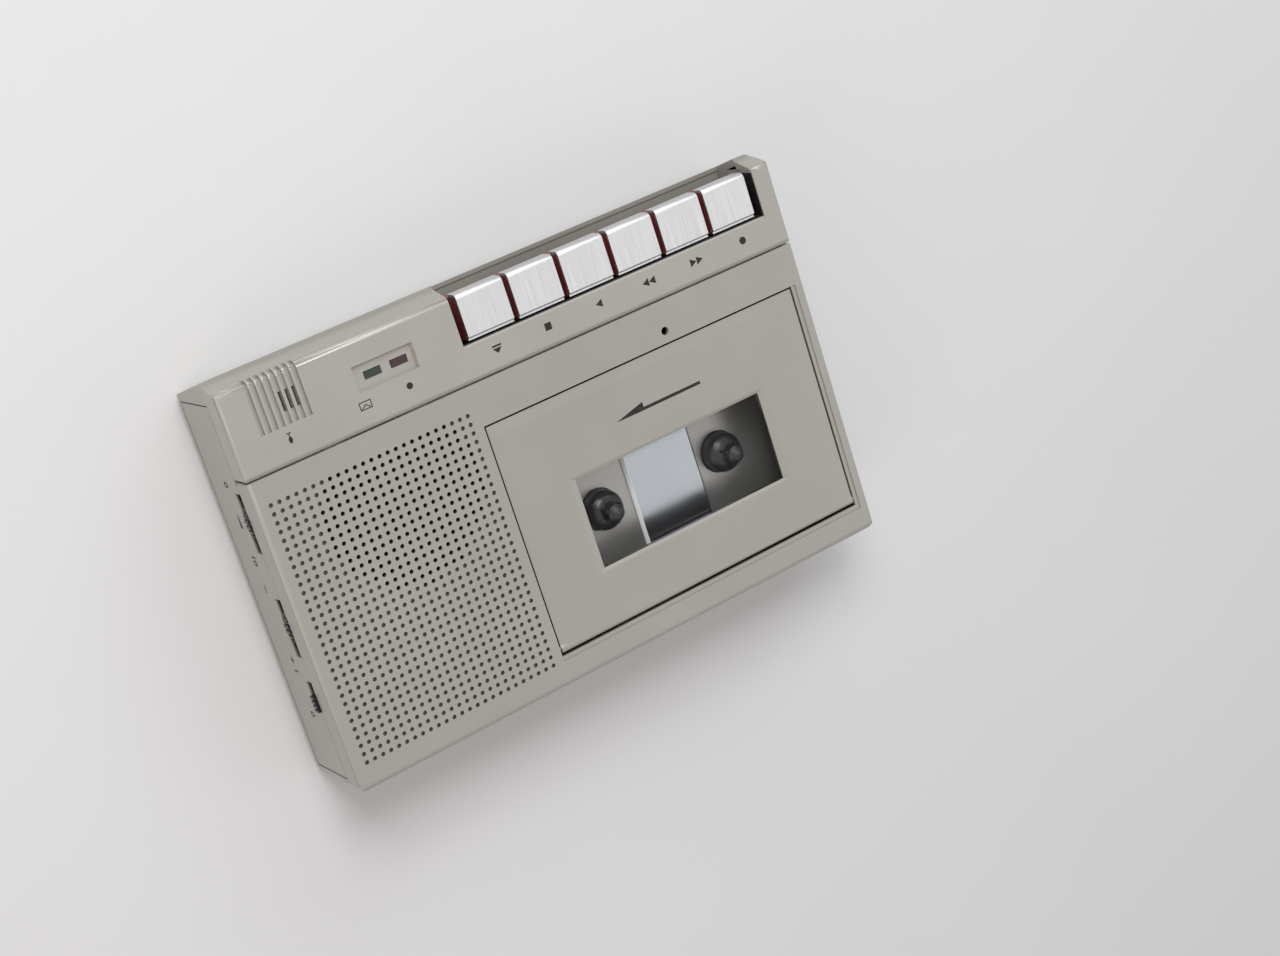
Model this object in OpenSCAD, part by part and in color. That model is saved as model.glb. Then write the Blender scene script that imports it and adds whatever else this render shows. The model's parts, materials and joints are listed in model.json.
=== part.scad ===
// Slim desk recorder for compact cassettes, lying on its back.
// X runs along the case, the keys are at -Y, Z points out of the front face.
// The origin is at the middle of the footprint, on the surface it rests on.

/* [Case] */
// Length of the case along X
body_l = 178; // [174:1:190]
// Depth of the case from the key edge to the hinge edge
body_w = 118; // [116:1:126]
// Thickness of the case without its feet
body_t = 30.5; // [30:0.5:36]
// Height of the rubber feet
foot_h = 1; // [0.6:0.1:3]
// Wall thickness of the moulded shells
wall = 2.2; // [1.8:0.1:2.6]
// Thickness of the front face
face_t = 2.2; // [1.8:0.1:2.6]
// Thickness of the rear floor
floor_t = 2; // [1.6:0.1:2.6]
// Height of the front mouldings above the case seam
skirt_h = 7.5; // [6.5:0.5:9]
// Radius of the key edge of the front face
front_r = 1.8; // [1:0.1:2.2]
// How far the wall of the control strip leans in at the key edge
front_lean = 1.9; // [1.2:0.1:2.6]
// Width of the rear shell's rim that shows below that wall
front_rim = 1; // [0.6:0.1:1.4]
// Radius of the hinge edge of the front face
back_r = 2.3; // [1.5:0.1:3]
// Radius of the end edges of the front face
end_r = 1.2; // [0.8:0.1:1.8]
// Radius of the upright corners
corner_r = 3; // [2.4:0.2:4]
// How far the rear shell leans in at the key edge
front_draft = 4.5; // [2:0.5:5]
// How far the rear shell leans in at the hinge edge
back_draft = 1.5; // [0.5:0.5:2]
// Bevel along the bottom edges
bottom_c = 1.5; // [0.8:0.1:2]
// Depth of the control strip along the key edge
strip_w = 27.5; // [27:0.5:30]

/* [Cassette door] */
// Length of the door along X
door_l = 104.8; // [104:0.2:106]
// Depth of the door along Y
door_w = 68.4; // [67:0.2:69]
// Thickness of the door
door_t = 2; // [1.6:0.1:2.4]
// Distance of the door from the left end of the case
door_end = 4.8; // [4.6:0.1:6]
// Distance of the door from the hinge edge of the case
door_back = 9.4; // [9.2:0.1:11]
// Gap round the door
door_gap = 0.6; // [0.4:0.1:0.8]
// Width of the sloped border of the door
door_slope = 3.2; // [2:0.2:4]
// Length of the window
window_l = 68.4; // [60:0.2:72]
// Depth of the window
window_w = 28.7; // [24:0.1:30]
// Distance from the door's key edge to the window
window_y = 23.3; // [20:0.1:25]
// Width of the bevel at the ends of the window
window_c = 2.3; // [1.4:0.1:2.6]
// Width of the bevel along the window
window_side_c = 0.9; // [0.5:0.1:1.4]
// Radius of the hinge pins
hinge_pin_r = 0.8; // [0.6:0.05:0.9]

/* [Reels] */
// Distance between the two reel spindles
hub_pitch = 42.5; // [40:0.5:45]
// Distance of the spindles from the door's key edge
hub_y = 39.3; // [38:0.1:40]
// Depth of the well floor below the front face
well_d = 13.5; // [13:0.1:15]
// Radius of the spindle collar
collar_r = 5.9; // [5.4:0.1:6.6]
// Height of a spindle above the well floor
spindle_h = 11.4; // [10:0.1:11.6]

/* [Keys] */
// Spacing of the keys
key_pitch = 16.45; // [16:0.05:16.6]
// Length of one key cap along X
cap_l = 14.7; // [13.6:0.1:15]
// Depth of one key cap along Y
cap_w = 12.2; // [11:0.1:12.6]
// Distance of the caps from the key edge of the case
cap_front = 3.4; // [3.2:0.1:4]
// How far the caps lie below the front face
cap_drop = 0.5; // [0.2:0.1:1]
// Depth of the key opening in the key edge, below the front face
key_cut_d = 17.5; // [14:0.5:18]
// Radius of the shaft that the keys turn on
key_shaft_r = 1.5; // [1.2:0.1:1.6]

/* [Speaker grille] */
// Spacing of the grille holes
grille_pitch = 2.5; // [2.4:0.05:2.6]
// Diameter of a grille hole
grille_d = 1.25; // [1:0.05:1.5]
// Columns of grille holes
grille_cols = 25; // [21:1:25]
// Rows of grille holes
grille_rows = 31; // [28:1:32]
// Depth of the holes that stop short of the speaker
dimple_d = 0.9; // [0.5:0.1:1.2]
// Radius of the round area of holes that go through
speaker_r = 23.7; // [21:0.1:24]

/* [Dials and switch] */
// Radius of a thumb dial
dial_r = 9.5; // [9:0.1:10]
// Thickness of a thumb dial
dial_t = 2.8; // [2.4:0.1:3]
// How far a dial stands out of the end face
dial_out = 0.5; // [0.3:0.1:1]
// Length of a dial's slot
dial_slot = 17; // [16:0.5:19]
// Length of the switch slot
switch_slot = 9; // [8:0.5:10]
// Width of the switch knob
knob_w = 4.6; // [3.5:0.1:5]

/* [Drive] */
// Radius of the flywheel
flywheel_r = 15; // [13:0.5:15]
// Radius of the motor pulley
pulley_r = 4; // [3:0.1:4.5]
// Radius of the motor
motor_r = 13; // [11:0.5:13]
// Radius of the capstan
capstan_r = 1; // [0.8:0.1:1.2]
// Radius of the pinch roller
pinch_r = 5.5; // [5:0.1:6]
// Thickness of the drive belt
belt_t = 1.4; // [1:0.1:1.6]

/* [Battery] */
// Inner length of the battery box
cell_l = 53; // [52:0.5:54]
// Inner depth of the battery box
cell_w = 30; // [29.5:0.5:31]
// Wall of the battery box
cell_wall = 1; // [0.8:0.1:1.2]

/* [Clearances] */
// Radial play of a turning fit
run_play = 0.05; // [0.02:0.01:0.09]
// Gap between moving pieces
move_gap = 0.4; // [0.3:0.05:0.6]
// Gap over and under sliding and turning plates
slide_gap = 0.3; // [0.2:0.05:0.4]
// Gap where two shells meet
shell_gap = 0.15; // [0.05:0.05:0.25]

/* [Hidden] */
$fn = 48;
// Sinking of one solid into another that it is part of
eps = 0.01;
// Run of a cut past the face that it opens
over = 1;

case_grey = [0.66, 0.645, 0.61];
well_black = [0.1, 0.1, 0.11];
key_red = [0.36, 0.06, 0.06];
cap_silver = [0.86, 0.86, 0.85];
steel = [0.62, 0.63, 0.65];
brass = [0.72, 0.55, 0.25];
rubber = [0.07, 0.07, 0.07];

// Limits at equal distances from a middle
function about(middle, length) = [middle - length / 2, middle + length / 2];

// Limits moved outwards by a gap
function grown(limits, gap) = [limits[0] - gap, limits[1] + gap];

// Planes of the case
yf = -body_w / 2;
yb = body_w / 2;
xe = body_l / 2;
z_bot = foot_h;
z_top = foot_h + body_t;
z_seam = z_top - skirt_h;
z_face = z_top - face_t;
z_floor = z_bot + floor_t;
split_y = yf + strip_w;
front_foot = [yf + front_rim, z_seam];
front_c = [yf + front_rim + front_lean + front_r, z_top - front_r];
front_turn = atan2(front_c[1] - front_foot[1], front_c[0] - front_foot[0])
    + asin(front_r / norm(front_c - front_foot));
front_run = sqrt(pow(norm(front_c - front_foot), 2) - front_r * front_r);
front_touch = front_foot + front_run * [cos(front_turn), sin(front_turn)];
front_in = wall / sin(front_turn);
groove_w = 1.5;
groove_d = 0.8;
split_gap = 0.4;
lap_w = 3;
lap_t = 1.2;

// Door and cassette well
deck_x = -xe + door_end + door_l / 2;
door_y1 = yb - door_back;
door_y0 = door_y1 - door_w;
door_under = z_top - door_t;
door_x = [deck_x - door_l / 2, deck_x + door_l / 2];
door_rib_t = 1.2;
door_rib_h = 3;
door_rib_in = 1.6;
door_rib_end = 6;
border_drop = 0.5;
barrel_r = hinge_pin_r + 0.7;
barrel_blend = 0.3;
hinge_y = door_y1 - barrel_r;
hinge_z = z_top - barrel_r;
hinge_pin_in = 6;
hinge_pin_out = 2;
hinge_boss_l = 3.2;
hinge_boss_wall = 0.6;
rim_w = 1.9;
rim_d = 0.4;
well_wall = 1.2;
well_play = 0.3;
well_x = [door_x[0] - door_gap - well_play, door_x[1] + door_gap + well_play];
well_y0 = door_y0 - door_gap - well_play;
well_y1 = door_y1 + door_gap + well_play;
pane_lap = 2;
pane_t = 0.9;
pane_r = 1.5;
pane_wall = 0.9;
window_y0 = door_y0 + window_y;
window_bevel_d = 0.45;
window_in_l = window_l - 2 * window_c;
window_in_w = window_w - 2 * window_side_c;

// Heights of the mechanism
deck_z = z_top - well_d;
deck_t = 1.5;
deck_play = 0.1;
deck_front = 13;
deck_y0 = door_y0 + deck_front;
deck_post_r = 2.5;
deck_post_in = 7.2;
deck_post_front = 4;
deck_post_back = 5;
deck_post_x = grown(well_x, -deck_post_in);
deck_post_y = [deck_y0 + deck_post_front, well_y1 - deck_post_back];
deck_rest_l = 12;
deck_rest_w = 3;
deck_rest_y = deck_y0 + deck_post_front - deck_rest_w;
chassis_gap = 1.8;
chassis_t = 1.2;
chassis_z1 = deck_z - deck_t - chassis_gap;
chassis_z0 = chassis_z1 - chassis_t;
chassis_post_r = 3;
chassis_post_in = 5.2;
chassis_post_back = 4.3;
chassis_post_x = grown(well_x, -chassis_post_in);
trim_h = 1.2;
trim_c = 0.8;
trim_l = 23.8;
trim_x = deck_x - 1.2;
trim_front = 1.5;
trim_back = 1;
trim_y = [deck_y0 + trim_front, well_y1 - trim_back];
spindle_y = door_y0 + hub_y;
hub_x = [deck_x - hub_pitch / 2, deck_x + hub_pitch / 2];
spindle_shaft_r = 1.5;
spindle_tip_r = 2.5;
spindle_tip_c = 0.9;
spindle_tip_h = 1.8;
spindle_fins = 3;
spindle_fin_t = 1;
spindle_fin_r = 3.2;
spindle_fin_z = 5;
spindle_fin_end = 2.2;
dome_z = 2.6;
dome_h = 3.6;
dome_step = 10;
dome_end = 60;
reel_gear_r = 11;
reel_gear_t = 2.6;

// Heads and head plate
head_travel = 5.5;
head_t = 1.2;
head_z0 = chassis_z1 + slide_gap;
head_z1 = head_z0 + head_t;
head_y0 = door_y0 - 12.2;
head_y1 = door_y0 - 0.2;
head_y_mid = (head_y0 + head_y1) / 2;
head_left = 24;
head_right = 34;
head_open = 2;
head_lintel = 1;
head_top = z_face - 3.2;
head_nose_r = 1.12;
head_nose_low = 2;
head_nose_high = 1;
record_head_l = 12;
record_head_w = 8;
erase_head_l = 7;
erase_head_w = 7;
erase_head_x = deck_x - 12;
erase_head_drop = 1;
capstan_x = deck_x + hub_pitch / 2 + 0.75;
capstan_y = door_y0 + 10.3;
capstan_top = z_face - 2.5;
bearing_t = 1.5;
bearing_up = 3;
pinch_y = capstan_y - capstan_r - pinch_r - head_travel - move_gap;
pinch_h = 7;
pinch_pin_r = 1;
pinch_seat_r = 3.3;
pinch_seat_h = 2;
pinch_arm_w = 6;
pinch_arm_t = 1;
guide_left = 19.5;
guide_right = 9.5;
guide_x = [deck_x - guide_left, deck_x + guide_right];
guide_r = 1.5;
guide_head_r = 2.7;
guide_head_t = 0.7;

// Drive
belt_h = 1.6;
belt_z = z_floor + 1.9;
belt_groove = 1;
belt_gap = 0.3;
flywheel_z0 = z_floor + 0.9;
flywheel_h = 5;
motor_x = door_x[0] + 16.2;
motor_y = door_y0 + 8.75;
motor_bottom = z_floor + 4.2;
motor_shaft_r = 1;
motor_shaft_in = 3.5;
motor_shaft_end = 0.5;

// Keys
key_count = 6;
key_end = 6.15;
key_row_play = 1.7;
key_open_l = key_count * key_pitch + 2 * key_row_play;
key_open_x = [-xe + key_end, -xe + key_end + key_open_l];
key_x = [for (i = [0:key_count - 1]) key_open_x[0] + key_row_play + (i + 0.5) * key_pitch];
cap_y0 = yf + cap_front;
cap_y1 = cap_y0 + cap_w;
cap_z = z_top - cap_drop;
cap_t = 1;
cap_r = 1.5;
cap_front_h = 4.8;
cap_ledge_w = 1.1;
cap_ledge_drop = 0.7;
cap_lean = 0.4;
key_inset = 0.1;
key_wall = 1.2;
key_roof = 1.4;
key_step = 1;
key_bottom = cap_z - 10.2;
key_hub_l = 8;
key_hub_r = key_shaft_r + 1.3;
key_pivot_y = split_y - 2.5;
key_pivot_z = z_face - 4.3;
key_arm_h = 4;
key_tail_l = 4;
key_tail_w = 3;
key_tail_h = 6.5;
key_open_y = cap_y1 + cap_ledge_w + move_gap;
key_open_c = 0.7;
cheek_t = 1.2;
key_cut_z = z_top - key_cut_d;
key_rim_w = 1.2;
key_rim_step = 0.4;
key_rim_y = yf + front_draft * (z_seam - key_cut_z) / (z_seam - z_bot - bottom_c) + key_rim_w;
key_shelf_z = key_cut_z - key_rim_step;
key_shelf_t = 1.2;
key_shelf_y = cap_y0 + 9;
key_shelf_lip = 2.5;
ear_t = 1.5;
ear_top = z_face - 1.7;
ear_half = 4;
ear_x = [key_open_x[0] - ear_t, key_open_x[1]];
chassis_x = [min(well_x[0] - well_wall, ear_x[0]), max(well_x[1] + well_wall, ear_x[1] + ear_t)];
chassis_post_y = [key_pivot_y + ear_half, well_y1 - chassis_post_back];
spring_l = 5;
spring_t = 0.8;
spring_play = 0.1;
latch_w = 5;
latch_x = min(key_x[key_count - 1], well_x[1] - latch_w / 2 - move_gap);
latch_travel = 2;
latch_y = key_pivot_y + key_hub_r + latch_travel + move_gap;
latch_z = z_face - 3.6;
latch_t = 1.2;

// Case screws: the two at the hinge edge, then the three at the key edge
boss_r = 1.9;
boss_foot = 0.6;
boss_gap = 1;
boss_bottom = z_floor + 6;
screw_r = 1;
screw_head_r = 1.7;
screw_head_h = 1.5;
screw_head_play = 0.2;
screw_seat = z_floor + 1;
screw_bite = 8;
screw_cross_l = 2.4;
screw_cross_w = 0.4;
screw_cross_d = 0.6;
screw_end_x = 6;
screw_left_x = 9;
screw_back_y = 5.4;
screw_front_y = 8;
back_screws = [[-xe + screw_left_x, yb - screw_back_y], [xe - screw_end_x, yb - screw_back_y]];
front_screws = [
    [xe - screw_end_x, yf + screw_front_y],
    [key_open_x[1] + cheek_t + boss_r + boss_gap, yf + screw_front_y],
    [-xe + wall + boss_r, yf + screw_front_y]
];
all_screws = concat(back_screws, front_screws);

// Control strip
lamp_l = 5;
lamp_w = 2;
lamp_h = 8;
lamp_flange = 0.6;
lamp_flange_t = 1;
lamp_leg = 0.5;
lamp_leg_pitch = 2.54;
lamp_recess_l = 18.4;
lamp_recess_w = 7.2;
lamp_recess_d = 1.2;
lamp_x = xe - 46.8;
lamp_mid = lamp_x - 0.5;
lamp_recess_c = 0.5;
lamp_y = yf + 13.9;
lamp_pitch = 8;
lamp_proud = 0.2;
lamp_play = 0.1;
rib_count = 8;
rib_pitch = 2;
rib_w = 1.1;
rib_d = 0.8;
rib_x0 = xe - 23;
rib_y1 = yf + 17.5;
rib_front = 2.6;
mic_slot_l = 5.4;
mic_slot_w = 1;
mic_x = rib_x0 + 2 * rib_pitch;
mic_y = yf + 11.4;
mic_r = 4.85;
mic_h = 7;
mic_gap = 0.5;
mic_boot_t = 1.6;
mic_boot_floor = 1;

// Grille and speaker
grille_x1 = xe - 4.35;
grille_x0 = grille_x1 - (grille_cols - 1) * grille_pitch;
grille_y0 = split_y + 7.6;
speaker_x = grille_x0 + 10 * grille_pitch;
speaker_y = grille_y0 + 14;
flange_in = speaker_r + 0.2;
flange_out = flange_in + 2.8;
flange_t = 1.5;
basket_t = 0.8;
basket_z = z_face - flange_t - 10.3;
magnet_r = 13.5;
magnet_h = 7;
cone_t = 0.6;
cone_edge = 1.4;
cone_lip = 2.4;
surround_w = 1.2;
surround_drop = 0.4;
coil_r = 7;
coil_t = 0.8;
coil_h = 5;
dust_h = 7;
sight_hole_x = deck_x - 8.85;
sight_hole_y = split_y + 8.7;
sight_hole_r = 1.2;

// End panel, dials and switch
panel_y0 = yf + 6.6;
panel_y1 = yb - 3.5;
panel_z0 = z_floor + 1;
panel_gap = 0.35;
panel_lug = 1.2;
panel_lug_w = 2;
panel_lug_top = z_seam - 4;
panel_lug_h = 5;
panel_side_lap = 0.4;
panel_foot_l = 8;
panel_foot_h = 3;
panel_foot_drop = 0.8;
panel_foot_in = 12;
slot_h = 3.8;
slot_z = z_seam - slot_h;
slot_lip = 0.7;
slot_side = 0.6;
slot_drop = 1.8;
dial_pitch = 30.3;
dial_front = 39.6;
dial_y = [yf + dial_front, yf + dial_front + dial_pitch];
dial_x = xe + dial_out - dial_r;
dial_z1 = z_seam - 0.4;
dial_z0 = dial_z1 - dial_t;
dial_shaft_r = 2;
dial_shaft_end = 1;
dial_grip = 36;
dial_grip_d = 0.4;
dial_grip_w = 0.7;
pot_r = 6.3;
pot_h = 6;
pot_gap = 0.5;
pot_foot = 8;
pot_z0 = dial_z0 - pot_gap - pot_h;
switch_y = yf + 90.2;
switch_d = 6;
switch_h = 6;
switch_l = 14;
switch_cut = 2;
switch_under = 1;
knob_h = 2.6;
knob_out = 0.7;
knob_play = 0.15;
knob_groove_w = 0.6;
knob_groove_d = 0.5;
knob_groove_pitch = 1.3;
switch_travel = switch_slot - knob_w - 2 * knob_play;
knob_y = switch_y + switch_travel / 2;

// Circuit board
board_z0 = z_floor + 2;
board_t = 1.6;
board_z1 = board_z0 + board_t;
board_x0 = grille_x0 + 2;
board_x1 = xe - 4.5;
board_y0 = yf + 13;
board_y1 = yf + 76.5;
board_post_r = 2.4;
board_post_in = 3.5;
can_count = 5;
can_r = 2.6;
can_h = 9;
can_pitch = 8;
can_y = 4.5;
chip_l = 8;
chip_w = 18;
chip_h = 2.6;
resistor_count = 8;
resistor_l = 3;
resistor_r = 0.9;
resistor_pitch = 5;
resistor_in = 6;
filter_count = 3;
filter_l = 5;
filter_w = 3;
filter_h = 5;
filter_pitch = 4;
filter_y = 8;

// Battery box and door
box_x0 = grille_x0 - 0.6;
box_x1 = box_x0 + cell_l + 2 * cell_wall;
box_y1 = yb - 4.6;
box_y0 = box_y1 - cell_w - 2 * cell_wall;
box_h = 15.6;
box_roof = 1;
hatch_x0 = box_x0 + 2.2;
hatch_x1 = box_x1 - 2.2;
hatch_y0 = box_y0 + 2;
hatch_tongue = 1.1;
hatch_split = z_bot + floor_t / 2;
hatch_grips = 6;
hatch_grip_l = 14;
hatch_grip_w = 1;
hatch_grip_d = 0.5;
hatch_grip_pitch = 2;
hatch_grip_y = yb - 18;
contact_t = 0.4;
contact_w = 8;
contact_h = 8;
contact_up = 3;

// Sockets on the left end
jack_pitch = 12;
jack_front = 73;
jack_y = [yf + jack_front, yf + jack_front + jack_pitch];
jack_z = z_floor + 5;
jack_r = 3;
earphone_r = 1.8;
power_r = 2.8;
jack_bore = [earphone_r, power_r];
jack_depth = 9;
jack_body = 8;
jack_floor = 1;

// Feet
foot_l = 12;
foot_w = 4.6;
foot_end = 0.1;
foot_x = xe - 5;
foot_y = yb - 20;

// Extrudes a profile drawn as [y, z] along X, centred on x = 0
module along_x(l) {
    rotate([90, 0, 90])
        translate([0, 0, -l / 2])
            linear_extrude(l) children();
}

// Extrudes a profile drawn as [x, z] along Y, centred on y = 0
module along_y(l) {
    rotate([90, 0, 0])
        translate([0, 0, -l / 2])
            linear_extrude(l) children();
}

// Box between two limits on each axis
module block(x, y, z) {
    translate([x[0], y[0], z[0]]) cube([x[1] - x[0], y[1] - y[0], z[1] - z[0]]);
}

// Cylinder between two heights
module post(x, y, z0, z1, r) {
    translate([x, y, z0]) cylinder(r = r, h = z1 - z0);
}

// Ring between two heights
module ring(x, y, z0, z1, r_in, r_out) {
    translate([x, y, z0])
        difference() {
            cylinder(r = r_out, h = z1 - z0);
            translate([0, 0, -over]) cylinder(r = r_in, h = z1 - z0 + 2 * over);
        }
}

// Cylinder along X
module rod_x(x0, x1, y, z, r) {
    translate([x0, y, z])
        rotate([0, 90, 0]) cylinder(r = r, h = x1 - x0);
}

// Rectangle with round corners, centred
module round_rect(l, w, r) {
    square([l - 2 * r, w], center = true);
    square([l, w - 2 * r], center = true);
    for (x = [-1, 1])
        for (y = [-1, 1])
            translate([x * (l / 2 - r), y * (w / 2 - r)]) circle(r);
}

// Place along Y of the control strip's leaning wall, at a height
function front_wall(z) = front_foot[0] + (z - z_seam) / tan(front_turn);

// Outline of the case seen from its end
module side_profile() {
    polygon([
        [yf, z_seam],
        [yf + front_draft, z_bot + bottom_c],
        [yf + front_draft + bottom_c, z_bot],
        [yb - back_draft - bottom_c, z_bot],
        [yb - back_draft, z_bot + bottom_c],
        [yb, z_seam],
        [yb, z_top - back_r],
        [yb - back_r, z_top - back_r],
        [yb - back_r, z_top],
        [front_c[0], z_top],
        front_c,
        front_touch,
        front_foot
    ]);
    translate(front_c) circle(front_r);
    translate([yb - back_r, z_top - back_r]) circle(back_r);
}

// Outline of the case seen from its key edge
module end_profile() {
    polygon([
        [-xe, z_bot + bottom_c],
        [-xe + bottom_c, z_bot],
        [xe - bottom_c, z_bot],
        [xe, z_bot + bottom_c],
        [xe, z_top - end_r],
        [xe - end_r, z_top - end_r],
        [xe - end_r, z_top],
        [-xe + end_r, z_top],
        [-xe + end_r, z_top - end_r],
        [-xe, z_top - end_r]
    ]);
    for (side = [-1, 1])
        translate([side * (xe - end_r), z_top - end_r]) circle(end_r);
}

// Whole outer form of the case
module outer_form() {
    intersection() {
        along_x(body_l + 2 * over) side_profile();
        along_y(body_w + 2 * over) end_profile();
        translate([0, 0, z_bot - over])
            linear_extrude(body_t + 2 * over) round_rect(body_l, body_w, corner_r);
    }
}

// Slice of the outer form between limits in Y and Z
module outer_slice(y, z) {
    intersection() {
        outer_form();
        block(grown([-xe, xe], over), y, z);
    }
}

// Space inside the walls
module inner_form() {
    along_x(body_l - 2 * wall)
        polygon([
            [front_wall(z_face) + front_in, z_face],
            [front_wall(z_seam) + front_in, z_seam],
            [yf + wall, z_seam],
            [yf + wall + front_draft, z_floor],
            [yb - wall - back_draft, z_floor],
            [yb - wall, z_seam],
            [yb - wall, z_face]
        ]);
}

// Groove where the control strip meets the main face
module strip_groove() {
    along_x(body_l + 2 * over)
        polygon([
            [split_y - groove_w + split_gap / 2, z_top + eps],
            [split_y + split_gap / 2, z_top - groove_d],
            [split_y + split_gap / 2, z_top + eps]
        ]);
    for (side = [-1, 1])
        translate([side * xe, split_y, z_seam - over])
            linear_extrude(skirt_h + 2 * over)
                polygon([[side * eps, -groove_w / 2], [-side * groove_d, 0], [side * eps, groove_w / 2]]);
}

// Pillars that the case screws bite into
module screw_pillars(places) {
    for (p = places)
        ring(p[0], p[1], boss_bottom, z_face + eps, screw_r + run_play, boss_r);
}

// Grille holes, through in the round speaker area and blind outside it
module grille_holes() {
    for (i = [0:grille_cols - 1])
        for (j = [0:grille_rows - 1]) {
            x = grille_x0 + i * grille_pitch;
            y = grille_y0 + j * grille_pitch;
            open = norm([x - speaker_x, y - speaker_y]) < speaker_r;
            depth = open ? face_t + over : dimple_d;
            translate([x, y, z_top - depth]) cylinder(d = grille_d, h = depth + over, $fn = 16);
        }
}

// Blocks under the face that hold the outer ends of the hinge pins
module hinge_bosses() {
    y = grown(about(hinge_y, 2 * barrel_r), hinge_boss_wall);
    z = [hinge_z - barrel_r - hinge_boss_wall, z_face + eps];
    block([door_x[0] - door_gap - hinge_boss_l, door_x[0] - door_gap], y, z);
    block([door_x[1] + door_gap, door_x[1] + door_gap + hinge_boss_l], y, z);
}

module front_panel() {
    color(case_grey)
        difference() {
            union() {
                difference() {
                    outer_slice([split_y + split_gap / 2, yb + over], [z_seam, z_top + over]);
                    inner_form();
                }
                screw_pillars(back_screws);
                hinge_bosses();
            }
            block(grown(door_x, door_gap), grown([door_y0, door_y1], door_gap), [z_seam, z_top + over]);
            block([door_x[0] - rim_w, door_x[1] + door_gap], [door_y0 - door_gap, door_y1 + rim_w],
                  [z_top - rim_d, z_top + over]);
            rod_x(door_x[0] - door_gap - hinge_pin_out, door_x[1] + door_gap + hinge_pin_out,
                  hinge_y, hinge_z, hinge_pin_r);
            strip_groove();
            post(sight_hole_x, sight_hole_y, z_face - over, z_top + over, sight_hole_r);
            grille_holes();
        }
}

// Lap under the edge of the main face, cleared round the speaker
module strip_lap() {
    difference() {
        block(grown([-xe, xe], -wall - shell_gap), about(split_y, 2 * lap_w), [z_face - lap_t, z_face]);
        post(speaker_x, speaker_y, basket_z, z_face + over, flange_out + move_gap);
    }
}

// Grooves of the microphone grille and the slots through the face
module microphone_cuts() {
    for (i = [0:rib_count - 1]) {
        x = about(rib_x0 + i * rib_pitch, rib_w);
        block(x, [yf - over, rib_y1], [z_top - rib_d, z_top + over]);
        translate([x[0] + rib_w / 2, 0, 0])
            along_x(rib_w)
                polygon([
                    [yf - over, z_top - rib_front],
                    [front_wall(z_top - rib_front) + rib_d, z_top - rib_front],
                    [front_wall(z_top) + rib_d, z_top + over],
                    [yf - over, z_top + over]
                ]);
    }
    for (i = [-1:1])
        block(about(mic_x + i * rib_pitch, mic_slot_w), about(mic_y, mic_slot_l),
              [z_face - over, z_top + over]);
}

// Recess of the lamps and the windows in its floor
module lamp_cuts() {
    hull() {
        block(about(lamp_x, lamp_recess_l), about(lamp_y, lamp_recess_w), [z_top, z_top + over]);
        block(grown(about(lamp_x, lamp_recess_l), -lamp_recess_c),
              grown(about(lamp_y, lamp_recess_w), -lamp_recess_c),
              [z_top - lamp_recess_d, z_top]);
    }
    for (side = [-1, 1])
        block(grown(about(lamp_mid + side * lamp_pitch / 2, lamp_l), lamp_play),
              grown(about(lamp_y, lamp_w), lamp_play), [z_seam, z_top]);
}

module control_panel() {
    color(case_grey)
        difference() {
            union() {
                difference() {
                    outer_slice([front_foot[0], split_y - split_gap / 2], [z_seam, z_top + over]);
                    inner_form();
                }
                strip_lap();
                screw_pillars(front_screws);
                for (x = [key_open_x[0] - cheek_t, key_open_x[1]])
                    block([x, x + cheek_t], [front_wall(z_face) + wall / 2, key_open_y],
                          [z_seam, z_face + eps]);
            }
            block(key_open_x, [yf - over, key_open_y], [z_seam - over, z_top + over]);
            translate([(key_open_x[0] + key_open_x[1]) / 2, 0, 0])
                along_x(key_open_l)
                    polygon([
                        [key_open_y - eps, z_top - key_open_c], [key_open_y + key_open_c, z_top + eps],
                        [key_open_y - eps, z_top + eps]
                    ]);
            strip_groove();
            lamp_cuts();
            microphone_cuts();
        }
}

// Opening for the battery door, wider above the split than below it
module hatch_opening(play) {
    block([hatch_x0 - play, hatch_x1 + play], [hatch_y0 - play, yb + over],
          [z_bot - over, hatch_split + eps]);
    block(grown([hatch_x0, hatch_x1], hatch_tongue + play), [hatch_y0 - hatch_tongue - play, yb + over],
          [hatch_split, z_floor + eps]);
}

// Opening for the end panel in the right-hand wall
module panel_opening(play) {
    block([xe - wall - eps, xe + over], grown([panel_y0, panel_y1], play), [panel_z0 - play, z_seam + over]);
}

// Lower part of the key opening, in the leaning wall of the rear shell
module key_cutout() {
    block(key_open_x, [yf - over, key_rim_y + eps], [key_cut_z, z_seam + over]);
    block(key_open_x, [key_rim_y, key_shelf_y - key_shelf_t], [key_shelf_z, z_seam + over]);
}

// Shelf under the keys, with a lip behind, clear of the screw pillars
module key_shelf() {
    difference() {
        union() {
            block(key_open_x, [key_rim_y, key_shelf_y], [key_shelf_z - key_shelf_t, key_shelf_z + eps]);
            block(key_open_x, [key_shelf_y - key_shelf_t, key_shelf_y],
                  [key_shelf_z, key_shelf_z + key_shelf_lip]);
        }
        for (p = front_screws)
            post(p[0], p[1], key_shelf_z - key_shelf_t - over, z_seam + over, boss_r + move_gap);
    }
}

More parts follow.
